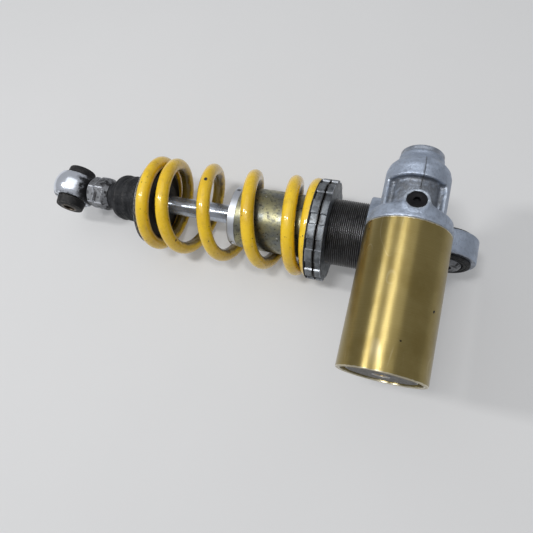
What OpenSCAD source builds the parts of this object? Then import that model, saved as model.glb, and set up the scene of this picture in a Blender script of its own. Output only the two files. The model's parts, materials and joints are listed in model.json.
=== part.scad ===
// Motorcycle rear shock absorber with a coil spring and a reservoir carried beside the body
// Millimetres. The origin is the centre of the head eye's bore.
// +X runs along the damper from the lower eye to the head eye, and the reservoir hangs along -Y.
// Threads are drawn as plain rings of the same pitch and depth.

/* [Layout] */
// Distance between the two eye bores, fully extended
eye_to_eye = 332.4; // [326:0.2:345]
// Damper travel
stroke = 55; // [40:1:56]
// Distance from the head eye to the open face of the head's socket
socket_reach = 60.5; // [56:0.5:66]
// How far the rings can be screwed back towards the head
ring_travel = 18; // [12:1:24]
// Length of bare thread left at the end of that travel
thread_spare = 9.6; // [4:0.1:14]

/* [Spring] */
// Wire thickness
wire_d = 10.8; // [9:0.1:11.2]
// Mean diameter of the coils
coil_d = 71; // [70:0.1:73]
// Length between the two ground faces
spring_len = 145; // [138:0.1:148]
// Number of turns of wire
turns = 5.95; // [5.2:0.05:6.3]
// Pitch of the closed end turns
closed_pitch = 11.4; // [11.4:0.1:12]
// Turns at the seat end that keep the closed pitch
seat_closed_turns = 0.9; // [0.3:0.05:0.9]
// Turns over which the pitch opens after them
open_turns = 1.1; // [0.6:0.05:2.2]
// Turns at the ring end that keep the closed pitch
ring_closed_turns = 0.5; // [0.1:0.05:0.9]
// Turns over which the pitch closes before them
close_turns = 1.6; // [0.6:0.05:2.8]
// Turn angle of the wire's end at the seat, from the front
tip_angle = 137; // [0:1:359]
// Thickness of the wire left at a ground tip, as a part of the wire
tip_part = 0.25; // [0.2:0.05:0.4]
// Rings of points in one turn
rings_per_turn = 24; // [16:1:24]
// Sides of the wire
wire_sides = 8; // [6:1:8]

/* [Damper] */
// Shaft diameter
shaft_d = 16; // [14:0.5:18]
// Outside diameter of the damper tube
tube_d = 51.6; // [50.6:0.1:52]
// Bore of the damper tube
tube_bore = 46; // [44:0.5:47]
// Crest diameter of the black threaded sleeve
thread_d = 53; // [52.6:0.1:55]
// Thread pitch
thread_pitch = 1.5; // [1:0.25:2]
// Thread depth
thread_depth = 0.85; // [0.4:0.05:0.9]
// Wall of the threaded sleeve under the thread
sleeve_wall = 1.2; // [0.8:0.1:1.5]
// Length of sleeve on the spring's side of the washer
sleeve_lead = 6; // [3:0.5:12]
// How deep the tube sits in the head's socket
tube_seat = 11; // [8:0.5:14]
// Visible length of the seal head's rim
cap_rim = 6.5; // [4:0.5:9]
// Outside diameter of the seal head's rim
cap_d = 50.4; // [49:0.1:51.4]
// Length of the seal head inside the tube
cap_len = 16; // [12:0.5:20]
// Number of pin-wrench holes in the seal head
cap_holes = 3; // [3:1:8]
// Diameter of a pin-wrench hole
cap_hole_d = 3.2; // [2:0.1:4]
// Piston length
piston_len = 14; // [10:0.5:18]
// Number of ports through the piston
piston_ports = 6; // [4:1:8]
// Length of the rebound bumper
bumper_len = 4; // [3:0.5:5]
// Diameter of the threaded spigot that holds the piston
spigot_d = 10; // [8:0.5:12]

/* [Preload rings] */
// Diameter over the lands of the rings
ring_d = 82; // [81:0.1:86]
// Width of the ring next to the spring
ring_w = 6.4; // [5:0.1:9]
// Width of the lock ring
lock_w = 5.4; // [4:0.1:8]
// Number of slots round a ring
ring_slots = 13; // [8:1:14]
// Angle of one slot
slot_angle = 11.5; // [8:0.5:16]
// Turn of the first slot from the front
slot_phase = 11; // [0:1:30]
// Depth of a slot
slot_depth = 1.4; // [0.8:0.1:2.5]
// Thickness of the washer between spring and ring
washer_t = 0.8; // [0.6:0.1:2]
// Outside diameter of that washer
washer_d = 81; // [76:0.5:82]

/* [Lower end] */
// Diameter of the lower eye's ball-shaped housing
eye_ball_d = 39.4; // [37:0.1:42]
// Width of the lower eye across its flats
eye_w = 22; // [20:0.2:24]
// Length over the lower eye's bushes
bush_span = 39.4; // [36:0.2:44]
// Diameter of a bush at its outer end
bush_d = 23.6; // [22:0.2:25]
// Diameter of a bush next to the eye
bush_root_d = 25.2; // [24:0.2:27]
// Bolt bore of the lower eye
lower_bore = 10; // [8:1:12]
// Diameter of the lower bearing ball
lower_ball_d = 22; // [21:0.5:22.5]
// Outside diameter of the lower bearing's race
lower_race_d = 25; // [24.6:0.2:26]
// Thread diameter of the rod end
rod_end_d = 14; // [12:1:16]
// Travel of the length adjuster
length_travel = 6; // [2:0.5:6.5]
// Width across flats of the jam nut
jam_af = 25; // [23:0.5:27]
// Thickness of the jam nut
jam_w = 7; // [4:0.5:8]
// Width across flats of the length adjuster
hex_af = 26; // [24:0.5:28]
// Length of the adjuster's hexagon
hex_w = 9; // [6:0.2:12]
// Diameter of the adjuster's round collar
collar_d = 29; // [27:0.5:30]
// Length of the adjuster's collar
collar_w = 4.8; // [3:0.2:10]
// Diameter of the boot's neck
boot_neck_d = 24.2; // [23:0.2:26]
// Diameter of the boot's barrel
boot_d = 40.8; // [38:0.2:44]
// Number of folds in the boot's barrel
boot_folds = 3; // [2:1:4]
// Rubber thickness of the boot
boot_wall = 2; // [1.5:0.1:3]
// Distance from the lower eye to the boot's neck
boot_from_eye = 41.7; // [40:0.1:46]
// Diameter of the spring seat's flange
seat_d = 74; // [72:0.5:78]
// Thickness of that flange
seat_t = 2; // [1.5:0.1:3]
// Length of the seat's hub inside the spring
hub_len = 6.6; // [5:0.2:12]
// Clearance between hub and spring
hub_gap = 0.5; // [0.4:0.05:1]
// Diameter of the bump stop inside the hub
bump_d = 39.2; // [34:0.2:42]
// How far the bump stop stands above the hub
bump_rise = 4; // [2:0.5:8]
// Gap between the bump stop and the seal head at full stroke
bump_gap = 10.7; // [3:0.1:14]

/* [Head] */
// Outside diameter of the head's socket
socket_d = 64; // [62:0.5:66]
// Diameter of the head eye
head_eye_d = 46; // [44:0.5:50]
// Width of the head eye
head_eye_w = 18.6; // [16:0.2:22]
// Bolt bore of the head eye
head_bore = 12; // [10:1:14]
// Diameter of the head bearing's ball
head_ball_d = 28; // [26:0.5:30]
// Outside diameter of the head bearing's race
race_d = 35; // [33:0.5:36]
// Diameter of the head eye's seals
seal_d = 38.6; // [37:0.2:40]
// Length over the head eye's sleeve
head_span = 28; // [26:0.2:32]
// Diameter of the sleeve's flanges
flange_d = 26; // [24:0.2:28]
// Diameter of the cross-head round the reservoir's axis
cross_d = 42.7; // [41:0.1:44]
// Diameter of the cross-head's neck
neck_d = 30; // [28:0.2:32]
// Distance from the main axis to the neck's end, along +Y
neck_end = 40.8; // [38:0.2:44]
// Top of the pocket under the shoulder, along +Y
pocket_top = 14.7; // [12:0.1:18]
// Bottom of the pocket, along -Y
pocket_low = 6.4; // [5:0.1:7]
// Edge of the pocket on its left, from the front
pocket_left = 62; // [40:1:66]
// Edge of the pocket on its right, from the front
pocket_right = 62; // [40:1:66]
// Diameter of the core seen inside the pocket
core_d = 33; // [30:0.5:36]
// Distance from the main axis to the foot of the bleed plug's axis, along -Y
plug_drop = 8.6; // [6:0.1:9]
// Distance from the reservoir's axis to the face of the plug's boss
boss_reach = 26; // [24:0.2:27]
// Diameter of the bleed plug
plug_d = 12.4; // [11:0.2:14]
// Tilt of the bleed plug's axis from +Z towards +Y
plug_tilt = 8; // [0:1:14]

/* [Reservoir] */
// Distance of the reservoir's axis from the head eye, towards the lower eye
res_back = 29.5; // [26:0.5:33]
// Distance of the reservoir's axis from the main axis
res_out = 62.5; // [60:0.5:68]
// Outside diameter of the reservoir
res_d = 55.6; // [54:0.2:57]
// Wall of the reservoir
res_wall = 2.8; // [2:0.1:3.2]
// Distance from the main axis to the top edge of the reservoir tube
res_top = 17.8; // [16:0.1:20]
// Length of the reservoir tube
res_len = 94; // [84:0.5:104]
// Depth of the end cap's face inside the tube's rim
end_depth = 1; // [0.5:0.1:2]
// Thickness of the end cap
end_t = 12; // [9:0.5:14]
// Length of the floating piston
float_len = 20; // [16:0.5:24]
// Distance from the reservoir tube's top edge to the floating piston
float_drop = 34; // [28:1:44]

/* [Hidden] */

round_fn = 72;
hull_fn = 32;
fit = 0.05;
rest_gap = 0.6;
face_gap = 0.1;
edge = 1;

// Stations along the damper
socket_x = -socket_reach;
lock_x = socket_x - thread_spare - ring_travel;
ring_x = lock_x - lock_w - rest_gap;
washer_x = ring_x - ring_w - face_gap;
spring_x1 = washer_x - washer_t - face_gap;
spring_x0 = spring_x1 - spring_len;
seat_x = spring_x0 - face_gap;
hub_x = seat_x + hub_len;
eye_x = -eye_to_eye;
jam_x = eye_x + eye_ball_d / 2 + 0.6;
hex_x = jam_x + jam_w + face_gap;
collar_x = hex_x + hex_w;
stud_x = collar_x + collar_w + face_gap;
boot_x = eye_x + boot_from_eye;
cap_x = hub_x + bump_rise + stroke + bump_gap;
tube_x = cap_x + cap_rim;
cap_in_x = tube_x + cap_len;
piston_x = cap_in_x + bumper_len + 1.4;
tube_end_x = socket_x + tube_seat;
sleeve_x = washer_x - washer_t - sleeve_lead;

// Radii
shaft_r = shaft_d / 2;
tube_r = tube_d / 2;
bore_r = tube_bore / 2;
thread_r = thread_d / 2;
root_r = thread_r - thread_depth;
sleeve_r = root_r - sleeve_wall;
coil_r = coil_d / 2;
wire_r = wire_d / 2;
hub_r = coil_r - wire_r - hub_gap;
ring_r = ring_d / 2;
cross_r = cross_d / 2;
neck_r = neck_d / 2;
core_r = core_d / 2;
res_r = res_d / 2;
res_bore_r = res_r - res_wall;
res_x = -res_back;
res_low = -res_top - res_len;
end_x = res_low + end_depth;
end_top = end_x + end_t;
float_y = -res_top - float_drop;
eye_flat_r = sqrt(pow(eye_ball_d / 2, 2) - pow(eye_w / 2, 2));

// Placing along and across the damper. A profile is a list of [place along the axis, radius].
module turn_x(profile)
    rotate([0, 90, 0]) rotate_extrude($fn = round_fn) polygon([for (p = profile) [p[1], p[0]]]);
module turn_y(profile)
    rotate([-90, 0, 0]) rotate_extrude($fn = round_fn) polygon([for (p = profile) [p[1], p[0]]]);
module on_reservoir() translate([res_x, 0, res_out]) children();
module disc_x(x, r, w) translate([x, 0, 0]) rotate([0, 90, 0]) cylinder(r = r, h = w, $fn = round_fn);
module disc_y(y, r, w) translate([0, y, 0]) rotate([-90, 0, 0]) cylinder(r = r, h = w, $fn = round_fn);
module tube_along_x(x, r, bore, w) turn_x([[x, bore], [x + w, bore], [x + w, r], [x, r]]);
module tube_along_y(y, r, bore, w) turn_y([[y, bore], [y + w, bore], [y + w, r], [y, r]]);
module ball_y(d) rotate([-90, 0, 0]) sphere(d = d, $fn = round_fn);
module hex_x_bar(x, af, w)
    translate([x, 0, 0]) rotate([0, 90, 0]) cylinder(d = af / cos(30), h = w, $fn = 6);

// A row of thread crests, as points of a turned profile
function thread_points(x0, x1, root, crest, pitch) =
    let (count = floor((x1 - x0) / pitch))
    [for (i = [0:count - 1]) let (x = x0 + i * pitch)
        each [[x, root], [x + pitch * 0.35, crest], [x + pitch * 0.6, crest], [x + pitch * 0.95, root]]];

// Spring centreline. The pitch opens from closed to full at the seat end and closes at the ring end.
function smooth(u) = let (v = min(max(u, 0), 1)) v * v * (3 - 2 * v);
ring_count = round(turns * rings_per_turn);
turn_step = turns / ring_count;
function open_part(k) = let (t = k * turn_step)
    smooth((t - seat_closed_turns) / open_turns)
    * (1 - smooth((t - (turns - ring_closed_turns - close_turns)) / close_turns));
open_sums = [for (k = 0, s = 0; k <= ring_count; k = k + 1, s = s + open_part(k - 0.5) * turn_step) s];
tip_x0 = spring_x0 + wire_d * (tip_part - 0.5);
tip_x1 = spring_x1 - wire_d * (tip_part - 0.5);
open_pitch = (tip_x1 - tip_x0 - closed_pitch * turns) / open_sums[ring_count];
function coil_x(k) = tip_x0 + closed_pitch * k * turn_step + open_pitch * open_sums[k];
function coil_angle(k) = tip_angle + 360 * k * turn_step;
function coil_point(k, dr, dx) = let (a = coil_angle(k), r = coil_r + dr)
    [min(max(coil_x(k) + dx, spring_x0), spring_x1), -r * sin(a), r * cos(a)];
centres = [for (k = [0:ring_count]) let (a = coil_angle(k)) [coil_x(k), -coil_r * sin(a), coil_r * cos(a)]];
turn_apart = round(rings_per_turn * 0.6);
least_gap = min([for (i = [0:ring_count - turn_apart]) for (j = [i + turn_apart:ring_count])
    norm(centres[i] - centres[j])]) - wire_d;
echo(spring_least_gap = least_gap);

module spring() {
    points = [for (k = [0:ring_count]) for (s = [0:wire_sides - 1]) let (a = 360 * s / wire_sides)
        coil_point(k, wire_r * cos(a), wire_r * sin(a))];
    sides = [for (k = [0:ring_count - 1]) for (s = [0:wire_sides - 1])
        let (a = k * wire_sides + s, b = k * wire_sides + (s + 1) % wire_sides,
            c = b + wire_sides, d = a + wire_sides)
        each [[a, b, c], [a, c, d]]];
    last = ring_count * wire_sides;
    tips = [for (s = [1:wire_sides - 2]) each [[0, s + 1, s], [last, last + s, last + s + 1]]];
    color("gold") polyhedron(points, concat(sides, tips), convexity = 10);
}

// Head casting: socket, arm, eye, bridge and the cross-head that carries the reservoir
module cross_head() {
    shoulder = pocket_top + 9;
    on_reservoir() turn_y([[-res_top - 9, 0], [-res_top - 9, res_bore_r - fit], [-res_top, res_bore_r - fit],
        [-res_top, res_r], [-res_top + 1, res_r + 0.2], [-pocket_low - 2.4, res_r - 1],
        [-pocket_low - 0.8, res_r - 2.4], [-pocket_low, res_r - 4.4], [-pocket_low, cross_r], [shoulder, cross_r], [shoulder + 3, cross_r - 1.2],
        [shoulder + 6, cross_r - 3.6], [shoulder + 9, neck_r + 0.4], [shoulder + 10, neck_r],
        [neck_end - 4, neck_r], [neck_end - 4, neck_r - 0.5], [neck_end - 0.8, neck_r - 0.5],
        [neck_end, neck_r - 1.3], [neck_end, 0]]);
}
module pocket_cut() {
    reach = 3 * cross_r;
    on_reservoir() intersection() {
        tube_along_y(-pocket_low, cross_r + 6, core_r, pocket_top + pocket_low);
        rotate([-90, 0, 0]) translate([0, 0, -pocket_low]) linear_extrude(height = pocket_top + pocket_low)
            polygon([[0, 0], [-reach * sin(pocket_left), -reach * cos(pocket_left)],
                [reach * sin(pocket_right), -reach * cos(pocket_right)]]);
    }
}
module plug_axis() on_reservoir() translate([1.4, -plug_drop, 0]) rotate([-plug_tilt, 0, 0]) children();
module head_arm() {
    hull() {
        translate([socket_x + 12, 0, 0]) rotate([0, 90, 0]) cylinder(r = socket_d / 2 - 5, h = 8, $fn = hull_fn);
        translate([-seal_d / 2 - 3, -head_eye_w / 2 + 1, -seal_d / 2]) cube([2, head_eye_w - 2, seal_d]);
    }
    hull() {
        translate([res_x, -7, res_out - 8]) rotate([-90, 0, 0]) cylinder(r = 14, h = 30, $fn = hull_fn);
        translate([-seal_d / 2 - 17.2, -14, 8]) rotate([-90, 0, 0]) cylinder(r = 16, h = 32, $fn = hull_fn);
    }
}
module head_casting() {
    color([0.62, 0.65, 0.7]) difference() {
        union() {
            turn_x([[socket_x, 0], [socket_x, socket_d / 2 - edge], [socket_x + edge, socket_d / 2],
                [socket_x + 14, socket_d / 2], [socket_x + 20, socket_d / 2 - 4], [socket_x + 20, 0]]);
            head_arm();
            turn_y([[-head_eye_w / 2, 0], [-head_eye_w / 2, head_eye_d / 2 - edge],
                [-head_eye_w / 2 + edge, head_eye_d / 2], [head_eye_w / 2 - edge, head_eye_d / 2],
                [head_eye_w / 2, head_eye_d / 2 - edge], [head_eye_w / 2, 0]]);
            difference() {
                cross_head();
                pocket_cut();
            }
            plug_axis() cylinder(d = plug_d + 4, h = boss_reach, $fn = round_fn);
        }
        disc_x(socket_x - 1, tube_r - 1 + fit, tube_seat + 1);
        disc_x(socket_x - 1, thread_r + fit, 5);
        disc_x(socket_x, bore_r - 2, tube_seat + 4);
        disc_y(-head_eye_w, race_d / 2, 2 * head_eye_w);
        translate([res_x - 10, 0, 0]) cylinder(d = 7, h = res_out, $fn = round_fn);
        on_reservoir() disc_y(-res_top - 10, 11, res_top + 30);
        on_reservoir() disc_y(0, 5 + fit, neck_end + 1);
        on_reservoir() disc_y(neck_end - 6, 9 + rest_gap, 7);
        on_reservoir() tube_along_y(-res_top - 6, res_r, res_bore_r - 1.8, 3);
        plug_axis() translate([0, 0, boss_reach - 3.2]) cylinder(d = plug_d + 2 * fit, h = 6, $fn = round_fn);
        plug_axis() translate([0, 0, 9]) cylinder(d = 8 + 2 * fit, h = boss_reach, $fn = round_fn);
    }
}

// Spherical bearing parts shared by both eyes. All turn about Y.
module bearing_race(ball, outer, w, colour)
    color(colour) difference() {
        disc_y(-w / 2, outer / 2, w);
        ball_y(ball + 2 * fit);
    }
module bearing_ball(ball, bore, w, colour)
    color(colour) intersection() {
        difference() {
            ball_y(ball);
            disc_y(-ball, bore / 2, 2 * ball);
        }
        disc_y(-w / 2, ball, w);
    }
head_race_w = head_eye_w - 3;
head_ball_w = head_eye_w - 1;
head_sleeve_r = head_bore / 2 + 2.5;
lower_sleeve_r = lower_bore / 2 + 1.8;
module head_race() bearing_race(head_ball_d, race_d, head_race_w, [0.45, 0.45, 0.47]);
module head_ball() bearing_ball(head_ball_d, 2 * (head_sleeve_r + fit), head_ball_w, [0.5, 0.5, 0.52]);
module head_sleeve() {
    step = head_ball_w / 2 + face_gap;
    color([0.4, 0.38, 0.35]) difference() {
        union() {
            disc_y(-head_span / 2, head_sleeve_r, head_span);
            for (side = [-1, 1]) scale([1, side, 1])
                turn_y([[step + 1.2, 0], [step + 1.2, flange_d / 2], [step + 3, flange_d / 2],
                    [head_span / 2, head_sleeve_r + 2.5], [head_span / 2, 0]]);
        }
        disc_y(-head_span, head_bore / 2, 2 * head_span);
    }
}
module head_seal(side) {
    y0 = head_eye_w / 2;
    inner = head_sleeve_r + 5.4;
    color([0.16, 0.14, 0.13]) scale([1, side, 1])
        turn_y([[y0, inner + 1.5], [y0, seal_d / 2], [y0 + 1.8, seal_d / 2], [y0 + 2.4, seal_d / 2 - 0.6],
            [y0 + 2.4, inner], [y0 + 1.6, inner]]);
}
module head_seal_front() head_seal(-1);
module head_seal_rear() head_seal(1);

// Damper body
module damper_tube() {
    color([0.5, 0.5, 0.4]) difference() {
        union() {
            turn_x([[tube_x, 0], [tube_x, tube_r - 0.6], [tube_x + 0.6, tube_r], [sleeve_x, tube_r],
                [sleeve_x, sleeve_r - fit], [tube_end_x, sleeve_r - fit], [tube_end_x, 0]]);
        }
        disc_x(tube_x - 1, bore_r, tube_end_x - tube_x + 2);
    }
}
module threaded_sleeve() {
    x1 = socket_x + 4;
    color([0.12, 0.12, 0.13]) turn_x(concat([[sleeve_x + face_gap, sleeve_r]],
        thread_points(sleeve_x + face_gap + 0.01, x1, root_r, thread_r, thread_pitch), [[x1, root_r], [x1, sleeve_r]]));
}
module seal_head() {
    color([0.78, 0.79, 0.8]) difference() {
        turn_x([[cap_x, shaft_r + 2.2], [cap_x, cap_d / 2 - edge], [cap_x + edge, cap_d / 2],
            [tube_x, cap_d / 2], [tube_x, bore_r - fit], [cap_in_x, bore_r - fit], [cap_in_x, shaft_r + 4],
            [cap_x + 7, shaft_r + 4], [cap_x + 7, shaft_r + 2.2]]);
        for (i = [0:cap_holes - 1]) rotate([360 * i / cap_holes + 85, 0, 0])
            translate([cap_x + cap_rim / 2, 0, cap_d / 2 - 3]) cylinder(d = cap_hole_d, h = 5, $fn = round_fn);
    }
}
module shaft_wiper()
    color([0.1, 0.1, 0.1]) turn_x([[cap_x + 0.6, shaft_r + 0.35], [cap_x + 0.6, shaft_r + 2.2 - fit],
        [cap_x + 6.6, shaft_r + 2.2 - fit], [cap_x + 6.6, shaft_r + 0.7], [cap_x + 3, shaft_r + 0.7]]);
module shaft_seal()
    color([0.2, 0.1, 0.1]) tube_along_x(cap_x + 7.2, shaft_r + 4 - fit, shaft_r + 0.3, 4);
module guide_bush()
    color([0.6, 0.45, 0.25]) tube_along_x(cap_x + 11.4, shaft_r + 4 - fit, shaft_r + fit, cap_in_x - cap_x - 11.6);
module rebound_bumper()
    color([0.15, 0.15, 0.15]) tube_along_x(cap_in_x + face_gap, shaft_r + 5, shaft_r + 0.4, bumper_len);

// Shaft and what it carries inside the damper
module shaft() {
    spigot_x = piston_x - 0.1;
    color([0.8, 0.81, 0.83]) turn_x([[stud_x + 16, 0], [stud_x + 16, spigot_d / 2], [stud_x + 28, spigot_d / 2],
        [stud_x + 28, shaft_r - 0.4], [stud_x + 28.4, shaft_r], [spigot_x, shaft_r], [spigot_x, spigot_d / 2],
        [piston_x + piston_len + 13, spigot_d / 2], [piston_x + piston_len + 13, 0]]);
}
module piston() {
    color([0.6, 0.6, 0.62]) difference() {
        turn_x([[piston_x + 2, spigot_d / 2 + fit], [piston_x + 2, bore_r - 1.6], [piston_x + 3.5, bore_r - 0.5],
            [piston_x + 3.5, bore_r - 2], [piston_x + piston_len - 0.5, bore_r - 2],
            [piston_x + piston_len - 0.5, bore_r - 0.5], [piston_x + piston_len + 1, bore_r - 1.6],
            [piston_x + piston_len + 1, spigot_d / 2 + fit]]);
        for (i = [0:piston_ports - 1]) rotate([360 * i / piston_ports, 0, 0])
            translate([piston_x, 0, bore_r * 0.62]) rotate([0, 90, 0])
                cylinder(d = 4.4, h = piston_len + 4, $fn = round_fn);
    }
}
module piston_band()
    color([0.35, 0.3, 0.25]) tube_along_x(piston_x + 3.6, bore_r - fit, bore_r - 2 + fit, piston_len - 4.2);
module shim_stack(x, big, small, count) {
    t = 0.45;
    for (i = [0:count - 1]) let (r = big + (small - big) * i / (count - 1))
        tube_along_x(x + i * t, r, spigot_d / 2 + fit, t);
}
module compression_shims()
    color([0.7, 0.7, 0.72]) shim_stack(piston_x + piston_len + 1 + 0.02, bore_r * 0.8, bore_r * 0.4, 6);
module rebound_shims()
    color([0.7, 0.7, 0.72]) tube_along_x(piston_x, bore_r * 0.75, spigot_d / 2 + fit, 1.9);
module piston_nut()
    color([0.5, 0.5, 0.55]) difference() {
        hex_x_bar(piston_x + piston_len + 4.2, 17, 8);
        disc_x(piston_x, spigot_d / 2 + fit, piston_len + 30);
    }

// Lower end: stud, boot, spring seat and bump stop
module adjuster_stud() {
    color([0.3, 0.3, 0.32]) difference() {
        turn_x([[stud_x, 0], [stud_x, boot_neck_d / 2 - boot_wall - fit], [stud_x + 8, boot_neck_d / 2 - boot_wall - fit],
            [stud_x + 12, shaft_r + 5], [seat_x - seat_t - 0.5, shaft_r + 5], [seat_x - seat_t - 0.5, 0]]);
        disc_x(stud_x + 28, shaft_r + fit, seat_x - stud_x);
        disc_x(stud_x + 15.9, spigot_d / 2 + fit, 13);
        disc_x(stud_x - 1, rod_end_d / 2 + fit, length_travel + 10);
    }
}
function boot_radius(u) = boot_d / 2 - 0.5 * (1 - cos(360 * boot_folds * u)) / 2;
module rubber_boot() {
    x1 = seat_x - seat_t - face_gap;
    barrel_x = boot_x + 12;
    steps = boot_folds * 8;
    folds = [for (i = [0:steps]) let (u = i / steps) [barrel_x + (x1 - barrel_x) * u, boot_radius(u)]];
    outer = concat([[boot_x, boot_neck_d / 2], [boot_x + 2, boot_neck_d / 2], [boot_x + 8.2, boot_d / 2 - 1.3]], folds);
    inner = [for (i = [len(outer) - 1:-1:0]) [outer[i][0] + (i == 0 || i == len(outer) - 1 ? 0 : 0.6),
        outer[i][1] - boot_wall]];
    color([0.13, 0.13, 0.14]) turn_x(concat(outer, inner));
}
module spring_seat() {
    color([0.2, 0.2, 0.21]) difference() {
        turn_x([[seat_x - seat_t, shaft_r + 6], [seat_x - seat_t, seat_d / 2 - 0.4],
            [seat_x - seat_t + 0.4, seat_d / 2], [seat_x, seat_d / 2], [seat_x, hub_r],
            [hub_x - edge, hub_r], [hub_x, hub_r - edge], [hub_x, shaft_r + 6]]);
        disc_x(seat_x + 3, bump_d / 2 + 1, hub_len);
    }
}
module bump_stop()
    color([0.12, 0.12, 0.12]) turn_x([[seat_x + 3.1, shaft_r + 0.6], [seat_x + 3.1, bump_d / 2],
        [hub_x + bump_rise - 3, bump_d / 2], [hub_x + bump_rise, bump_d / 2 - 3],
        [hub_x + bump_rise, shaft_r + 0.6]]);
module seat_clip()
    color([0.55, 0.55, 0.57]) tube_along_x(seat_x - seat_t, shaft_r + 6 - fit, shaft_r + fit, seat_t + 3);

// Length adjuster and jam nut on the rod end's thread
module length_adjuster()
    color([0.35, 0.35, 0.37]) difference() {
        union() {
            hex_x_bar(hex_x, hex_af, hex_w);
            turn_x([[collar_x, 0], [collar_x, collar_d / 2], [collar_x + collar_w * 0.55, collar_d / 2],
                [collar_x + collar_w, collar_d / 2 - 2.4], [collar_x + collar_w, 0]]);
        }
        disc_x(hex_x - 1, rod_end_d / 2 + fit, hex_w + collar_w + 2);
    }
module jam_nut()
    color([0.4, 0.4, 0.42]) difference() {
        intersection() {
            hex_x_bar(jam_x, jam_af, jam_w);
            turn_x([[jam_x, 0], [jam_x, jam_af / 2], [jam_x + jam_w / 4, jam_af / 2 + 2],
                [jam_x + jam_w * 0.75, jam_af / 2 + 2], [jam_x + jam_w, jam_af / 2], [jam_x + jam_w, 0]]);
        }
        disc_x(jam_x - 1, rod_end_d / 2 + fit, jam_w + 2);
    }

// Lower eye, its bearing and its bushes
module at_lower_eye() translate([eye_x, 0, 0]) children();
module lower_eye() {
    stem_end = stud_x + 8 + length_travel - eye_x;
    color([0.72, 0.74, 0.77]) at_lower_eye() difference() {
        union() {
            intersection() {
                ball_y(eye_ball_d);
                disc_y(-eye_w / 2, eye_ball_d, eye_w);
            }
            disc_x(eye_ball_d / 4, rod_end_d / 2, stem_end - eye_ball_d / 4);
        }
        disc_y(-eye_w, lower_race_d / 2, 2 * eye_w);
    }
}
module lower_race() at_lower_eye() bearing_race(lower_ball_d, lower_race_d, eye_w - 6, [0.45, 0.45, 0.47]);
module lower_ball() at_lower_eye()
    bearing_ball(lower_ball_d, 2 * (lower_sleeve_r + fit), eye_w - 5.2, [0.6, 0.6, 0.62]);
module lower_sleeve()
    color([0.6, 0.58, 0.52]) at_lower_eye() tube_along_y(-bush_span / 2, lower_sleeve_r, lower_bore / 2, bush_span);
module lower_bush(side) {
    y0 = eye_w / 2 + 0.6;
    y1 = bush_span / 2 - 0.2;
    color([0.14, 0.13, 0.13]) at_lower_eye() scale([1, side, 1])
        turn_y([[y0, lower_sleeve_r + fit], [y0, bush_root_d / 2], [y0 + 1, bush_root_d / 2],
            [y1 - edge, bush_d / 2], [y1, bush_d / 2 - edge], [y1, lower_sleeve_r + fit]]);
}
module lower_bush_front() lower_bush(-1);
module lower_bush_rear() lower_bush(1);

// Rings on the thread
module ring_body(x, w) {
    color([0.72, 0.73, 0.75]) difference() {
        turn_x([[x, thread_r + fit], [x, ring_r - 0.5], [x + 0.5, ring_r], [x + w - 0.5, ring_r],
            [x + w, ring_r - 0.5], [x + w, thread_r + fit]]);
        for (i = [0:ring_slots - 1]) rotate([360 * i / ring_slots + slot_phase, 0, 0])
            translate([x - 1, -ring_r * sin(slot_angle / 2), ring_r - slot_depth])
                cube([w + 2, 2 * ring_r * sin(slot_angle / 2), 6]);
    }
}
module preload_ring() ring_body(ring_x - ring_w, ring_w);
module lock_ring() ring_body(lock_x - lock_w, lock_w);
module thrust_washer()
    color([0.1, 0.1, 0.1]) tube_along_x(washer_x - washer_t, washer_d / 2, thread_r + fit, washer_t);

// Reservoir and its inside
module reservoir_tube()
    color([0.8, 0.65, 0.3]) on_reservoir() turn_y([[res_low, res_bore_r], [res_low, res_r - 0.6],
        [res_low + 0.6, res_r], [-res_top - 0.4, res_r], [-res_top, res_r - 0.4], [-res_top, res_bore_r]]);
module reservoir_seal()
    color([0.1, 0.1, 0.1]) on_reservoir() tube_along_y(-res_top - 5.9, res_bore_r - fit, res_bore_r - 1.7, 2.8);
module floating_piston()
    color([0.65, 0.65, 0.67]) on_reservoir() difference() {
        turn_y([[float_y - float_len, 0], [float_y - float_len, res_bore_r - 0.4], [float_y - float_len / 2 - 2, res_bore_r - 0.4],
            [float_y - float_len / 2 - 2, res_bore_r - 2], [float_y - float_len / 2 + 2, res_bore_r - 2],
            [float_y - float_len / 2 + 2, res_bore_r - 0.4], [float_y, res_bore_r - 0.4], [float_y, 0]]);
        disc_y(float_y - float_len - 1, res_bore_r - 5, float_len - 4);
    }
module floating_piston_seal()
    color([0.1, 0.1, 0.1]) on_reservoir()
        tube_along_y(float_y - float_len / 2 - 1.9, res_bore_r - fit, res_bore_r - 2 + fit, 3.8);
module reservoir_end_cap()
    color([0.45, 0.46, 0.48]) on_reservoir() difference() {
        turn_y([[end_x, 0], [end_x, res_bore_r - 3.8], [end_x + 0.6, res_bore_r - 3.2], [end_x + 3, res_bore_r - 3.2],
            [end_x + 3, res_bore_r - fit], [end_top, res_bore_r - fit], [end_top, 0]]);
        disc_y(end_x - 1, 5 + fit, 7);
        disc_y(end_x - 1, 2.6 + fit, end_t + 2);
        disc_y(end_x + 5, 3.6, 5);
    }
module reservoir_circlip()
    color([0.35, 0.35, 0.37]) on_reservoir() difference() {
        tube_along_y(end_x + 1.3, res_bore_r - fit, res_bore_r - 2.2, 1.6);
        rotate([0, 15, 0]) translate([0, res_low, -4]) cube([res_r, end_depth + 4, 8]);
    }
module gas_valve()
    color([0.75, 0.65, 0.4]) on_reservoir() union() {
        difference() {
            disc_y(end_x + 0.3, 5, 5.6);
            rotate([-90, 0, 0]) translate([0, 0, end_x - 1]) cylinder(d = 5 / cos(30), h = 4, $fn = 6);
        }
        disc_y(end_x + 5.8, 2.6, end_t - 5);
    }

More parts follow.
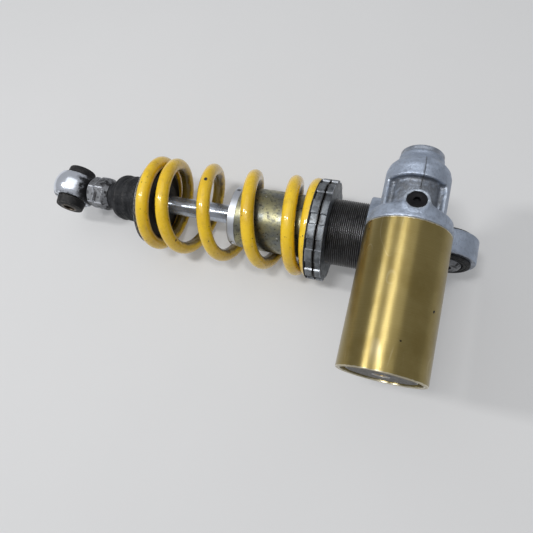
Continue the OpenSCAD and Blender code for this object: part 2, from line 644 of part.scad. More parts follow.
// Compression valve in the cross-head, and the bleed plug
module valve_seat()
    color([0.6, 0.5, 0.3]) on_reservoir() difference() {
        tube_along_y(-6, 11 - fit, 2.6, 8);
        for (i = [0:5]) rotate([0, 60 * i, 0]) translate([7, -7, 0]) disc_y(0, 1.5, 10);
    }
module needle_screw()
    color([0.7, 0.7, 0.72]) on_reservoir() turn_y([[-4, 0], [-4, 0.4], [3, 2.4], [6, 2.4], [6, 4], [9, 5 - fit],
        [neck_end - 16, 5 - fit], [neck_end - 16, 0]]);
module compression_knob()
    color([0.7, 0.55, 0.25]) on_reservoir() difference() {
        union() {
            disc_y(neck_end - 5.8, 9, 6.4);
            disc_y(neck_end - 12, 5 - fit, 8);
        }
        translate([-6, neck_end - 0.8, -0.8]) cube([12, 2, 1.6]);
    }
module bleed_plug()
    color([0.1, 0.1, 0.11]) plug_axis() difference() {
        union() {
            translate([0, 0, boss_reach - 2]) cylinder(d = plug_d, h = 1.9, $fn = round_fn);
            translate([0, 0, boss_reach - 12]) cylinder(d = 8, h = 11, $fn = round_fn);
        }
        translate([0, 0, boss_reach - 2.6]) cylinder(d = 4 / cos(30), h = 4, $fn = 6);
    }
module bleed_plug_seal()
    color([0.5, 0.3, 0.2]) plug_axis() translate([0, 0, boss_reach - 3.2]) difference() {
        cylinder(d = plug_d - 0.6, h = 1.2, $fn = round_fn);
        translate([0, 0, -1]) cylinder(d = 8 + 2 * fit, h = 4, $fn = round_fn);
    }

head_casting();
head_race();
head_ball();
head_sleeve();
head_seal_front();
head_seal_rear();
damper_tube();
threaded_sleeve();
seal_head();
guide_bush();
shaft_seal();
shaft_wiper();
rebound_bumper();
shaft();
piston();
piston_band();
compression_shims();
rebound_shims();
piston_nut();
adjuster_stud();
rubber_boot();
spring_seat();
bump_stop();
seat_clip();
length_adjuster();
jam_nut();
lower_eye();
lower_race();
lower_ball();
lower_sleeve();
lower_bush_front();
lower_bush_rear();
spring();
thrust_washer();
preload_ring();
lock_ring();
reservoir_tube();
reservoir_seal();
floating_piston();
floating_piston_seal();
reservoir_end_cap();
reservoir_circlip();
gas_valve();
valve_seat();
needle_screw();
compression_knob();
bleed_plug();
bleed_plug_seal();
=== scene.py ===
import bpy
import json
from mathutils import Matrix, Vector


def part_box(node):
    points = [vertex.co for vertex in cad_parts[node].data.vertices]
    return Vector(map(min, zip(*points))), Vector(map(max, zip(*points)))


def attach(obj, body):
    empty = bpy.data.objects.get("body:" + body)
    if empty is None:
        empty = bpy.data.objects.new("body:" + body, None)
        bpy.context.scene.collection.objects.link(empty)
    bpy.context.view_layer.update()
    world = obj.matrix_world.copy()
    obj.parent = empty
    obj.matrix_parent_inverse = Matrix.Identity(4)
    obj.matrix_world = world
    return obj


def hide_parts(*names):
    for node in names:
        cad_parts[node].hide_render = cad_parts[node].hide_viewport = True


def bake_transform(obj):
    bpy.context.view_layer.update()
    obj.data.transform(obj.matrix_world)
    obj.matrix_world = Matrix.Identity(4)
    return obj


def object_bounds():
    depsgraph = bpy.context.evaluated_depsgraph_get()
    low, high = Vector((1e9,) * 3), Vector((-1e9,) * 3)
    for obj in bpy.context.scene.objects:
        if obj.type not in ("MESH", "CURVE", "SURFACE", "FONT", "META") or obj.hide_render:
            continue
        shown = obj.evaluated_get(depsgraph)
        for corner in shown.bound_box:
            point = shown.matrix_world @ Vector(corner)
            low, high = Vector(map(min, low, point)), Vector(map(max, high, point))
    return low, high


bl_info = {
    "name": "Rear shock absorber",
    "version": (1, 0, 0),
    "blender": (4, 5, 0),
    "location": "3D View > Sidebar > Shock",
    "description": "Dresses the solids of a motorcycle rear shock absorber with finished surfaces",
    "category": "Object",
}

import json

import bpy
import numpy as np
from bpy.props import FloatProperty, FloatVectorProperty, IntProperty, PointerProperty
from mathutils import Matrix

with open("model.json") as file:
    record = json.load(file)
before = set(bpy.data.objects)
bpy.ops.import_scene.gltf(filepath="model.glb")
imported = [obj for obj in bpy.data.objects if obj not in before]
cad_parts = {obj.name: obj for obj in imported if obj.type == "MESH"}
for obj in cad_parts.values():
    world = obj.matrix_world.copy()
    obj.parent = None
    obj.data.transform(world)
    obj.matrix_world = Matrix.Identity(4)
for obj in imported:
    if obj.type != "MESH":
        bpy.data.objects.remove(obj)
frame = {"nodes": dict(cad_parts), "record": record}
CAD_BOX = [[float(v) for v in corner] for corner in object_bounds()]
SLOT = {part["node"]: part["material_slot"] for part in frame["record"]["subparts"]}
BODY = {node: body for body, nodes in frame["record"]["behaviour"]["bodies"].items() for node in nodes}
X_AXIS = ((1, 0, 0), (0, 0, 1))
Y_AXIS = ((0, 1, 0), (0, 0, 1))


def span(node, axis):
    """Lowest and highest place of a node along an axis, in millimetres."""
    low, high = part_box(node)
    return low[axis] * 1000, high[axis] * 1000


EYE_X = sum(span("lower_sleeve", 0)) / 2
RES_X = sum(span("reservoir_tube", 0)) / 2
RES_Z = sum(span("reservoir_tube", 2)) / 2
RES_LOW, RES_TOP = span("reservoir_tube", 1)
SOCKET_X = span("head_casting", 0)[0]
SPRING_X0, SPRING_X1 = span("spring", 0)
SEAT_X0, HUB_X = span("spring_seat", 0)
CAP_X, CAP_IN_X = span("seal_head", 0)
TUBE_X, TUBE_END_X = span("damper_tube", 0)
RING_GAP_X = (span("preload_ring", 0)[1] + span("lock_ring", 0)[0]) / 2

# Places shared by pieces and finishes. Turns count from the spring's tip at the seat.
SPRING_TIP = np.radians(137)
SEAT_CLOSED, OPENS_OVER = 0.9, 1.1
RING_CLOSED, CLOSES_OVER = 0.5, 1.6
KNOCK_TURN, KNOCK_ROUND = 2.576, -0.17
RING_RADIUS = 41.0
RING_SLOT_START, RING_SLOT_WIDTH = np.radians(11), np.radians(11.5)
PIN_HOLES, PIN_HOLE_START = 3, np.radians(85)
PLUG_TILT = np.radians(8)
PLUG_X, PLUG_Y = 1.4, -8.6
LOWER_HALF_X = -0.1


class ShockSizes(bpy.types.PropertyGroup):
    """Sizes of the finished surfaces that a user may change."""

    coil_radius: FloatProperty(
        name="Coil radius",
        description="From the axis to the middle of the wire",
        default=0.0355, unit="LENGTH",
    )
    wire_radius: FloatProperty(
        name="Wire radius", description="Radius of the spring's wire", default=0.0054, unit="LENGTH"
    )
    turns: FloatProperty(name="Turns", description="Turns of wire from tip to tip", default=5.95, min=3)
    closed_pitch: FloatProperty(
        name="Closed pitch", description="Pitch of the closed end turns", default=0.0114, unit="LENGTH"
    )
    thread_pitch: FloatProperty(
        name="Thread pitch", description="Pitch of the black thread", default=0.0015, unit="LENGTH"
    )
    thread_depth: FloatProperty(
        name="Thread depth", description="Depth of the black thread", default=0.00085, unit="LENGTH"
    )
    slots: IntProperty(name="Ring slots", description="Spanner slots round each ring", default=13, min=6)
    slot_depth: FloatProperty(
        name="Slot depth", description="Depth of a spanner slot", default=0.0014, unit="LENGTH"
    )
    fold_height: FloatProperty(
        name="Fold height", description="Height of the boot's folds", default=0.0007, unit="LENGTH"
    )
    fillet: FloatProperty(
        name="Casting fillet",
        description="Radius where the casting's forms run together",
        default=0.003, unit="LENGTH",
    )


class ShockColours(bpy.types.PropertyGroup):
    """Colours that a user may change."""

    enamel: FloatVectorProperty(
        name="Spring enamel",
        description="Colour of the spring",
        subtype="COLOR", default=(0.82, 0.54, 0.02),
    )
    gold: FloatVectorProperty(
        name="Reservoir",
        description="Anodised colour of the reservoir",
        subtype="COLOR", default=(0.3, 0.235, 0.085),
    )
    casting: FloatVectorProperty(
        name="Casting", description="Colour of the cast head", subtype="COLOR", default=(0.325, 0.375, 0.46)
    )
    plating: FloatVectorProperty(
        name="Tube plating",
        description="Colour of the plated tube",
        subtype="COLOR", default=(0.25, 0.25, 0.2),
    )
    floor: FloatVectorProperty(
        name="Floor", description="Colour of the floor", subtype="COLOR", default=(0.63, 0.63, 0.63)
    )


# Mesh building


def quads_between(rows, columns, loop_rows):
    """Quads of a grid whose columns close on themselves, and its rows too if asked."""
    i, j = np.meshgrid(np.arange(rows if loop_rows else rows - 1), np.arange(columns), indexing="ij")
    k, n = (i + 1) % rows, (j + 1) % columns
    return np.stack([i * columns + j, i * columns + n, k * columns + n, k * columns + j], -1).reshape(-1, 4)


def build(name, points, quads, triangles=None, masks=None, sharp=40):
    """Puts whole arrays of points and faces into a mesh, turned to face outwards by its signed volume."""
    triangles = np.zeros((0, 3), int) if triangles is None else triangles
    fans = np.concatenate([quads[:, [0, 1, 2]], quads[:, [0, 2, 3]], triangles])
    a, b, c = (points[fans[:, k]] for k in range(3))
    if np.einsum("ij,ij->i", a, np.cross(b, c)).sum() < 0:
        quads, triangles = quads[:, ::-1], triangles[:, ::-1]
    mesh = bpy.data.meshes.new(name)
    corners = np.concatenate([quads.ravel(), triangles.ravel()]).astype(np.int32)
    sizes = np.concatenate([np.full(len(quads), 4), np.full(len(triangles), 3)])
    mesh.vertices.add(len(points))
    mesh.vertices.foreach_set("co", (points * 0.001).astype(np.float32).ravel())
    mesh.loops.add(len(corners))
    mesh.loops.foreach_set("vertex_index", corners)
    mesh.polygons.add(len(sizes))
    mesh.polygons.foreach_set("loop_start", np.concatenate([[0], np.cumsum(sizes)[:-1]]).astype(np.int32))
    mesh.update(calc_edges=True)
    mesh.validate()
    mesh.polygons.foreach_set("use_smooth", np.ones(len(mesh.polygons), bool))
    mesh.set_sharp_from_angle(angle=np.radians(sharp))
    for mask, values in (masks or {}).items():
        layer = mesh.attributes.new(mask, "FLOAT", "POINT")
        layer.data.foreach_set("value", np.ascontiguousarray(values, np.float32).ravel())
    obj = bpy.data.objects.new(name, mesh)
    bpy.context.scene.collection.objects.link(obj)
    return obj


def along_and_radius(obj):
    """Each point's place along X and distance from X, in millimetres."""
    co = np.zeros(len(obj.data.vertices) * 3, np.float32)
    obj.data.vertices.foreach_get("co", co)
    return co[0::3] * 1000, np.hypot(co[1::3], co[2::3]) * 1000


def set_crease(obj, values):
    """Replaces the crease mask, where the finishes lay dirt and painted shade."""
    obj.data.attributes["crease"].data.foreach_set("value", values.astype(np.float32))


def rounded(profile, closed, step):
    """Rounds a profile's corners with short arcs and fills it with points no further apart than the step.
    A profile point is (place along the axis, radius, rounding), and the solid lies on the right of its path.
    Returns the points, and for each how near it is to an outer corner and to an inner one."""
    p = np.array([[q[0], q[1], q[2] if len(q) > 2 else 0.15] for q in profile], float)
    count = len(p)
    line, outer, inner = [], [], []
    for i in range(count):
        here = p[i, :2]
        if not closed and i in (0, count - 1):
            line.append(here[None])
            continue
        before, after = here - p[i - 1, :2], p[(i + 1) % count, :2] - here
        room = 0.45 * min(np.linalg.norm(before), np.linalg.norm(after))
        cut = min(p[i, 2], room)
        u, v = before / np.linalg.norm(before), after / np.linalg.norm(after)
        s = np.linspace(0, 1, 6)[:, None]
        line.append((1 - s) ** 2 * (here - cut * u) + 2 * s * (1 - s) * here + s**2 * (here + cut * v))
        turn = u[0] * v[1] - u[1] * v[0]
        if abs(turn) > 0.3:
            (outer if turn < 0 else inner).append(here)
    line = np.concatenate(line + ([line[0][:1]] if closed else []))
    length = np.concatenate([[0], np.cumsum(np.linalg.norm(np.diff(line, axis=0), axis=1))])
    keep = np.concatenate([[True], np.diff(length) > 1e-6])
    line, length = line[keep], length[keep]
    spans = zip(length[:-1], length[1:])
    extra = [np.linspace(a, b, int(np.ceil((b - a) / step)) + 1)[:-1] for a, b in spans]
    at = np.concatenate(extra + ([] if closed else [length[-1:]]))
    points = np.stack([np.interp(at, length, line[:, 0]), np.interp(at, length, line[:, 1])], -1)

    def nearness(marks):
        if not marks:
            return np.full(len(points), 99.0)
        return np.linalg.norm(points[:, None] - np.array(marks)[None], axis=-1).min(1)

    return points, nearness(outer), nearness(inner)


def lathe(
    name, profile, axis=X_AXIS, origin=(0, 0, 0), closed=True, segments=160, step=0.8, shape=None, wear=0.7
):
    """Turns a profile round an axis: point = origin + along * axis + radius * (cos(angle) * front +
    sin(angle) * side). A shape function may change the arrays of places and radii before they are
    placed. An open profile starts and ends on the axis, where one point closes it."""
    line, to_outer, to_inner = rounded(profile, closed, step)
    ends = line[[0, -1]]
    if not closed:
        line, to_outer, to_inner = line[1:-1], to_outer[1:-1], to_inner[1:-1]
    angle = np.linspace(0, 2 * np.pi, segments, endpoint=False)[None] + np.zeros((len(line), 1))
    along, radius = line[:, :1] + 0 * angle, line[:, 1:] + 0 * angle
    edge = np.exp(-((to_outer / wear) ** 2))[:, None] + 0 * angle
    # Nearness to inner corners makes the crease mask, where most finishes lay painted shade with their dirt.
    crease = np.exp(-to_inner / 1.2)[:, None] + 0 * angle
    if shape:
        along, radius, edge = shape(along, radius, angle, edge)
    axle, front = np.array(axis[0], float), np.array(axis[1], float)
    side = np.cross(axle, front)
    points = (
        np.array(origin, float)
        + along[..., None] * axle
        + radius[..., None] * (np.cos(angle)[..., None] * front + np.sin(angle)[..., None] * side)
    ).reshape(-1, 3)
    quads = quads_between(len(line), segments, closed)
    triangles = None
    edge, crease = edge.ravel(), crease.ravel()
    if not closed:
        last = (len(line) - 1) * segments
        first_pole, last_pole = len(points), len(points) + 1
        poles = np.array(origin, float) + ends[:, :1] * axle
        if shape:
            poles[0] += (along[0, 0] - line[0, 0]) * axle
            poles[1] += (along[-1, 0] - line[-1, 0]) * axle
        points = np.concatenate([points, poles])
        j = np.arange(segments)
        n = (j + 1) % segments
        head = np.stack([n, j, np.full(segments, first_pole)], -1)
        tail = np.stack([last + j, last + n, np.full(segments, last_pole)], -1)
        triangles = np.concatenate([head, tail])
        edge, crease = np.append(edge, [0, 0]), np.append(crease, [0, 0])
    return build(name, points, quads, triangles, {"edge": edge, "crease": crease})


def hexagon_radius(angle, flats, turn=0.0):
    """Distance from the axis to a hexagon's side at each angle."""
    return flats / 2 / np.cos((angle + turn) % (np.pi / 3) - np.pi / 6)


def net_surface(distance, low, high, step, rounds=3):
    """Meshes the zero surface of a distance function. Each cube of a grid that the surface crosses gets one
    point, the mean of where its edges are crossed, and each crossed grid edge gets one quad. Then the points
    move along the slope of the function until it is zero."""
    axes = [np.arange(a, b + step, step, dtype=np.float32) for a, b in zip(low, high)]
    field = distance(*np.meshgrid(*axes, indexing="ij", sparse=True))
    inside = field < 0
    shape = np.array(field.shape) - 1
    corners = [(i, j, k) for i in (0, 1) for j in (0, 1) for k in (0, 1)]
    views = [inside[i : i + shape[0], j : j + shape[1], k : k + shape[2]] for i, j, k in corners]
    total = np.sum(views, axis=0)
    cells = np.argwhere((total > 0) & (total < 8))
    index = np.full(shape, -1)
    index[tuple(cells.T)] = np.arange(len(cells))
    where, hits = np.zeros((len(cells), 3)), np.zeros((len(cells), 1))
    for a in corners:
        for axis in range(3):
            if a[axis] == 1:
                continue
            b = tuple(v + (k == axis) for k, v in enumerate(a))
            fa, fb = field[tuple((cells + a).T)], field[tuple((cells + b).T)]
            crossed = (fa < 0) != (fb < 0)
            t = np.where(crossed, fa / np.where(crossed, fa - fb, 1), 0)[:, None]
            where += crossed[:, None] * (np.array(a) + t * (np.array(b) - np.array(a)))
            hits += crossed[:, None]
    points = np.array(low) + step * (cells + where / hits)
    quads = []
    for axis in range(3):
        one, two = [k for k in range(3) if k != axis]
        near = [slice(1, None)] * 3
        near[axis] = slice(0, -1)
        here = inside[tuple(slice(0, -1) if k == axis else slice(None) for k in range(3))]
        there = inside[tuple(slice(1, None) if k == axis else slice(None) for k in range(3))]
        change = np.argwhere(here != there)
        change = change[(change[:, one] > 0) & (change[:, two] > 0)]
        change = change[(change[:, one] < shape[one]) & (change[:, two] < shape[two])]
        ring = []
        for da, db in ((0, 0), (1, 0), (1, 1), (0, 1)):
            cell = change.copy()
            cell[:, one] -= da
            cell[:, two] -= db
            ring.append(index[tuple(cell.T)])
        face = np.stack(ring, -1)
        flip = here[tuple(change.T)] != (axis == 1)
        face[flip] = face[flip][:, ::-1]
        quads.append(face)
    quads = np.concatenate(quads)
    for _ in range(rounds):
        slope, value = slope_of(distance, points)
        move = value[:, None] * slope / np.maximum((slope**2).sum(1), 0.2)[:, None]
        points -= np.clip(move, -step / 3, step / 3)
    return points, quads


def slope_of(distance, points, reach=0.04):
    """The slope of a distance function at points, from small differences, and its value there."""
    value = distance(*points.T)
    ahead = [distance(*(points + reach * e).T) for e in np.eye(3)]
    behind = [distance(*(points - reach * e).T) for e in np.eye(3)]
    slope = [(a - b) / (2 * reach) for a, b in zip(ahead, behind)]
    return np.stack(slope, -1), value


def form_masks(distance, points, reach=1.6):
    """How convex and how hollow a distance function's surface is at each point: the depth found a short way
    inside, and the height found a short way outside, against those of a flat surface."""
    slope, _ = slope_of(distance, points)
    normal = slope / np.linalg.norm(slope, axis=1)[:, None]
    edge = 1 + distance(*(points - reach * normal).T) / reach
    hollow = 1 - distance(*(points + 1.5 * reach * normal).T) / (1.5 * reach)
    return np.clip(edge * 2, 0, 1), np.clip(hollow * 1.6, 0, 1)


def join(a, b, k):
    """The smaller of two distances, run together over a fillet of size k."""
    h = np.clip(0.5 + 0.5 * (b - a) / k, 0, 1)
    return b + (a - b) * h - k * h * (1 - h)


def carve(a, b, k):
    """Distance of what is left of a when b is taken away, with edges eased over k."""
    return -join(-a, b, k)


def turned(along, radius, profile, ease=0.6):
    """Distance to a solid of revolution. Its profile is a polygon in (along, radius). Each side is moved
    inwards by the easing, the distance to the nearest side is signed by a crossing test, and the easing is
    taken off again, which rounds the outer corners."""
    p = np.array(profile, float)
    ahead = np.roll(p, -1, axis=0) - p
    normal = np.stack([ahead[:, 1], -ahead[:, 0]], -1) / np.linalg.norm(ahead, axis=1)[:, None]
    before = np.roll(normal, 1, axis=0)
    p = p + ease * (normal + before) / (1 + (normal * before).sum(1))[:, None]
    q = np.roll(p, -1, axis=0)
    nearest, odd = None, None
    for (ax, ay), (bx, by) in zip(p, q):
        dx, dy = bx - ax, by - ay
        t = np.clip(((along - ax) * dx + (radius - ay) * dy) / (dx * dx + dy * dy), 0, 1)
        gap = (along - ax - t * dx) ** 2 + (radius - ay - t * dy) ** 2
        reached = (radius - ay) * dx / (dy if dy else 1e-9) + ax > along
        crossing = ((ay <= radius) != (by <= radius)) & reached
        nearest = gap if nearest is None else np.minimum(nearest, gap)
        odd = crossing if odd is None else odd ^ crossing
    return np.where(odd, -1, 1) * np.sqrt(nearest) - ease


def dress(obj, node, *others):
    """The piece stands for its node, rides on that node's body and takes that node's finish."""
    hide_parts(node, *others)
    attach(obj, BODY[node])
    obj.data.materials.append(finish(SLOT[node]))
    return obj


# Materials


class Tree:
    """Short ways to add nodes to one node tree. A value may be a socket or a number."""

    def __init__(self, tree):
        self.tree = tree

    def put(self, socket, value):
        """Links a socket to another, or sets its own value."""
        if isinstance(value, bpy.types.NodeSocket):
            self.tree.links.new(value, socket)
        elif socket.type == "RGBA" and len(value) == 3:
            socket.default_value = (*value, 1)
        else:
            socket.default_value = value

    def add(self, kind, sockets=None, **settings):
        """Adds a node with these settings, and sockets given by name or number."""
        node = self.tree.nodes.new("ShaderNode" + kind)
        for key, value in settings.items():
            setattr(node, key, value)
        for key, value in (sockets or {}).items():
            self.put(node.inputs[key], value)
        return node

    def maths(self, operation, a, b=0.0, c=0.0):
        """One step of arithmetic or one comparison."""
        return self.add("Math", {0: a, 1: b, 2: c}, operation=operation).outputs[0]

    def times(self, a, b):
        """Product."""
        return self.maths("MULTIPLY", a, b)

    def plus(self, a, b):
        """Sum."""
        return self.maths("ADD", a, b)

    def minus(self, a, b):
        """Difference."""
        return self.maths("SUBTRACT", a, b)

    def larger(self, a, b):
        """The larger of two."""
        return self.maths("MAXIMUM", a, b)

    def ease(self, value, low, high, start=0.0, end=1.0):
        """A smooth step from start to end as the value goes from low to high."""
        sockets = {"Value": value, "From Min": low, "From Max": high, "To Min": start, "To Max": end}
        return self.add("MapRange", sockets, interpolation_type="SMOOTHSTEP").outputs[0]

    def mix(self, factor, a, b):
        """A colour between two."""
        return self.add("Mix", {0: factor, 6: a, 7: b}, data_type="RGBA").outputs[2]

    def over(self, colour, tint, mask, strength=None):
        """Lays a tint over a colour where the mask is, as strongly as asked."""
        return self.mix(mask if strength is None else self.times(mask, strength), colour, tint)

    def place(self):
        """Object coordinates."""
        return self.add("TexCoord").outputs["Object"]

    def along(self, axis):
        """The place along one axis, in metres."""
        return self.add("SeparateXYZ", {0: self.place()}).outputs[axis]

    def around(self, axis):
        """The direction of brushing round an axis through the piece's middle."""
        return self.add("Tangent", direction_type="RADIAL", axis=axis).outputs[0]

    def attribute(self, name):
        """A mask held by the mesh."""
        return self.add("Attribute", attribute_name=name).outputs["Fac"]

    def noise(self, settings=None, **sockets):
        """Noise, spread about a half."""
        return self.add("TexNoise", sockets, **(settings or {})).outputs["Fac"]

    def stretched(self, stretch):
        """Object coordinates, each times its own stretch."""
        return self.add("VectorMath", {0: self.place(), 1: stretch}, operation="MULTIPLY").outputs[0]

    def group(self, name, **sockets):
        """Places a shared node group with its own values."""
        node = self.tree.nodes.new("ShaderNodeGroup")
        node.node_tree = effect(name)
        for key, value in sockets.items():
            self.put(node.inputs[key], value)
        return node.outputs[0]

    def mottled(self, scale, low, high, a, b):
        """Two colours in soft patches."""
        return self.mix(self.group("patches", scale=scale, low=low, high=high), a, b)

    def grainy(self, scale, low, high):
        """A value that wanders between two with the fine grain."""
        return self.ease(self.group("fine grain", scale=scale), 0.3, 0.7, low, high)

    def wander(self, scale, size):
        """A length that goes up and down about nought with the fine grain."""
        return self.times(self.minus(self.group("fine grain", scale=scale), 0.5), size)

    def bump(self, height, size, strength=1.0, under=None):
        """A normal from heights, in metres at full height."""
        sockets = {"Height": height, "Distance": size, "Strength": strength}
        if under is not None:
            sockets["Normal"] = under
        return self.add("Bump", sockets).outputs[0]

    def grain_bump(self, scale, size):
        """A normal from the fine grain."""
        return self.bump(self.group("fine grain", scale=scale), size)

    def seen(self):
        """1 for rays that show a surface: straight to the camera, in a mirror or through glass."""
        rays = self.add("LightPath").outputs
        mirrored = self.larger(rays["Is Camera Ray"], rays["Is Glossy Ray"])
        return self.larger(mirrored, rays["Is Transmission Ray"])


class Finish(Tree):
    """A new material's tree with one Principled shader. Its steady values are set on its own sockets."""

    def __init__(self, name, **sockets):
        self.material = bpy.data.materials.new(name)
        self.material.use_nodes = True
        self.material.node_tree.nodes.clear()
        super().__init__(self.material.node_tree)
        named = {key.replace("_", " "): value for key, value in sockets.items()}
        self.shader = self.add("BsdfPrincipled", named)
        self.end = self.add("OutputMaterial", name="Material Output").inputs["Surface"]
        self.put(self.end, self.shader.outputs[0])

    def surface(self, colour, roughness, normal, **more):
        """Puts what was worked out into the shader, and returns the material."""
        values = {"Base Color": colour, "Roughness": roughness, "Normal": normal, **more}
        for key, value in values.items():
            self.put(self.shader.inputs[key], value)
        return self.material


def patches(t, scale, low, high):
    """Soft patches: noise between two levels."""
    return t.ease(t.noise(Vector=t.place(), Scale=scale, Detail=5.0, Roughness=0.6), low, high)


def chips(t, scale, share, size):
    """Small ragged spots: the cells of a Voronoi pattern whose random number is under the share, as far as
    the size from their middle, with a random size each."""
    place = t.place()
    bend = t.noise(Vector=place, Scale=t.times(scale, 4.0), Detail=3.0)
    cells = t.add("TexVoronoi", {"Vector": place, "Scale": scale})
    random = t.add("SeparateColor", {0: cells.outputs["Color"]}).outputs
    reach = t.times(size, t.plus(0.25, random[1]))
    ragged = t.maths("MULTIPLY_ADD", t.minus(bend, 0.5), 0.35, cells.outputs["Distance"])
    spot = t.ease(t.maths("DIVIDE", ragged, reach), 1.0, 0.7)
    return t.times(t.maths("LESS_THAN", random[0], share), spot)


def worn_edge(t, scale, amount):
    """Bright wear: the mesh's edge mask, broken up by noise."""
    noise = t.noise(Vector=t.place(), Scale=scale, Detail=6.0, Roughness=0.65)
    level = t.maths("MULTIPLY_ADD", t.minus(noise, 0.5), 1.3, t.attribute("edge"))
    return t.ease(t.plus(level, t.minus(amount, 1.0)), 0.0, 0.28)


def dirt_and_crease_shade(t, scale, amount):
    """A mask: thin patches of dirt, and the mesh's creases, where most finishes lay painted shade."""
    noise = t.noise(Vector=t.place(), Scale=scale, Detail=6.0, Roughness=0.7)
    level = t.plus(t.times(t.attribute("crease"), 0.75), t.minus(noise, 0.62))
    return t.times(t.ease(level, 0.0, 0.45), amount)


def fine_grain(t, scale, stretch):
    """Fine relief: noise stretched along the axes."""
    return t.noise(Vector=t.stretched(stretch), Scale=scale, Detail=4.0, Roughness=0.6)


def turning_lines(t, along, pitch):
    """Lathe marks: noise in one direction, the place along the axis over the pitch."""
    steps = t.maths("DIVIDE", along, pitch)
    return t.noise({"noise_dimensions": "1D"}, W=steps, Scale=1.0, Detail=3.0, Roughness=0.7)


def scratches(t, scale, share, stretch):
    """Thin scratches: the narrow bands where stretched noise passes its middle value, kept in patches."""
    noise = t.noise(Vector=t.stretched(stretch), Scale=scale, Detail=1.0, Distortion=0.4)
    line = t.ease(t.maths("ABSOLUTE", t.minus(noise, 0.5)), 0.012, 0.002)
    where = t.noise(Vector=t.place(), Scale=t.times(scale, 0.6))
    return t.times(line, t.ease(where, t.minus(0.75, share), 0.8))


EFFECTS = {
    "patches": (patches, "Mask", [("scale", 60.0), ("low", 0.4), ("high", 0.6)]),
    "chips": (chips, "Mask", [("scale", 300.0), ("share", 0.1), ("size", 0.3)]),
    "worn edge": (worn_edge, "Mask", [("scale", 300.0), ("amount", 0.5)]),
    "dirt and crease shade": (dirt_and_crease_shade, "Mask", [("scale", 120.0), ("amount", 1.0)]),
    "fine grain": (fine_grain, "Height", [("scale", 1000.0), ("stretch", (1.0, 1.0, 1.0))]),
    "turning lines": (turning_lines, "Height", [("along", 0.0), ("pitch", 0.001)]),
    "scratches": (scratches, "Mask", [("scale", 60.0), ("share", 0.2), ("stretch", (1.0, 1.0, 1.0))]),
}


def effect(name):
    """A shared shader node group, built the first time it is asked for."""
    if name in bpy.data.node_groups:
        return bpy.data.node_groups[name]
    make, output, inputs = EFFECTS[name]
    group = bpy.data.node_groups.new(name, "ShaderNodeTree")
    for key, value in inputs:
        kind = "NodeSocketVector" if isinstance(value, tuple) else "NodeSocketFloat"
        group.interface.new_socket(key, in_out="INPUT", socket_type=kind).default_value = value
    group.interface.new_socket(output, in_out="OUTPUT", socket_type="NodeSocketFloat")
    t = Tree(group)
    entry, leave = group.nodes.new("NodeGroupInput"), group.nodes.new("NodeGroupOutput")
    t.put(leave.inputs[0], make(t, *[entry.outputs[key] for key, _ in inputs]))
    return group


def shade(colour, *factors):
    """A colour times one factor, or times one for each part, held under 1."""
    return tuple(min(1.0, f * v) for f, v in zip(factors * (3 // len(factors)), colour))


def cast_aluminium():
    """Sand-cast skin: mottled blue-grey with dirt and painted shade in the hollows and the pocket, pits, a
    parting line down the front, and brighter faces where it is machined."""
    t = Finish("cast_aluminium", Metallic=0.75, IOR=1.5)
    base = tuple(bpy.context.scene.shock_colours.casting)
    x, y, z = (t.along(axis) for axis in "XYZ")
    colour = t.mottled(90.0, 0.35, 0.68, base, shade(base, 1.3))
    colour = t.over(colour, shade(base, 0.6), t.group("patches", scale=420.0, low=0.5, high=0.62), 0.35)
    # Dirt in patches, and painted shade in the hollows and the pocket.
    colour = t.over(colour, (0.1, 0.098, 0.094), t.group("dirt and crease shade", scale=260.0, amount=0.75))
    colour = t.over(colour, (0.44, 0.49, 0.56), t.group("worn edge", scale=500.0, amount=0.3))
    lean = t.times(t.minus(z, RES_Z / 1000), 0.09)
    side = t.minus(t.minus(x, RES_X / 1000 + 0.0008), lean)
    ridge = t.ease(t.maths("ABSOLUTE", t.plus(side, t.wander(300.0, 0.0006))), 0.00055, 0.0001)
    front = t.maths("GREATER_THAN", z, (RES_Z + 10) / 1000)
    middle = t.times(t.ease(y, 0.003, 0.006), t.ease(y, 0.0315, 0.029))
    line = t.times(t.times(ridge, front), middle)
    colour = t.over(colour, (0.12, 0.12, 0.12), line, 0.55)
    machined = t.attribute("machined")
    colour = t.over(colour, t.mottled(150.0, 0.4, 0.6, (0.24, 0.265, 0.31), (0.38, 0.42, 0.49)), machined)
    rough = t.minus(t.grainy(700.0, 0.36, 0.54), t.times(machined, 0.1))
    pits = t.group("chips", scale=420.0, share=0.1, size=0.28)
    skin = t.minus(t.group("fine grain", scale=1300.0), t.times(pits, 1.6))
    skin = t.times(skin, t.minus(1.0, t.times(machined, 0.85)))
    normal = t.bump(t.group("fine grain", scale=260.0), 0.0005, under=t.bump(skin, 0.00022))
    return t.surface(colour, rough, t.bump(line, 0.0005, under=normal))


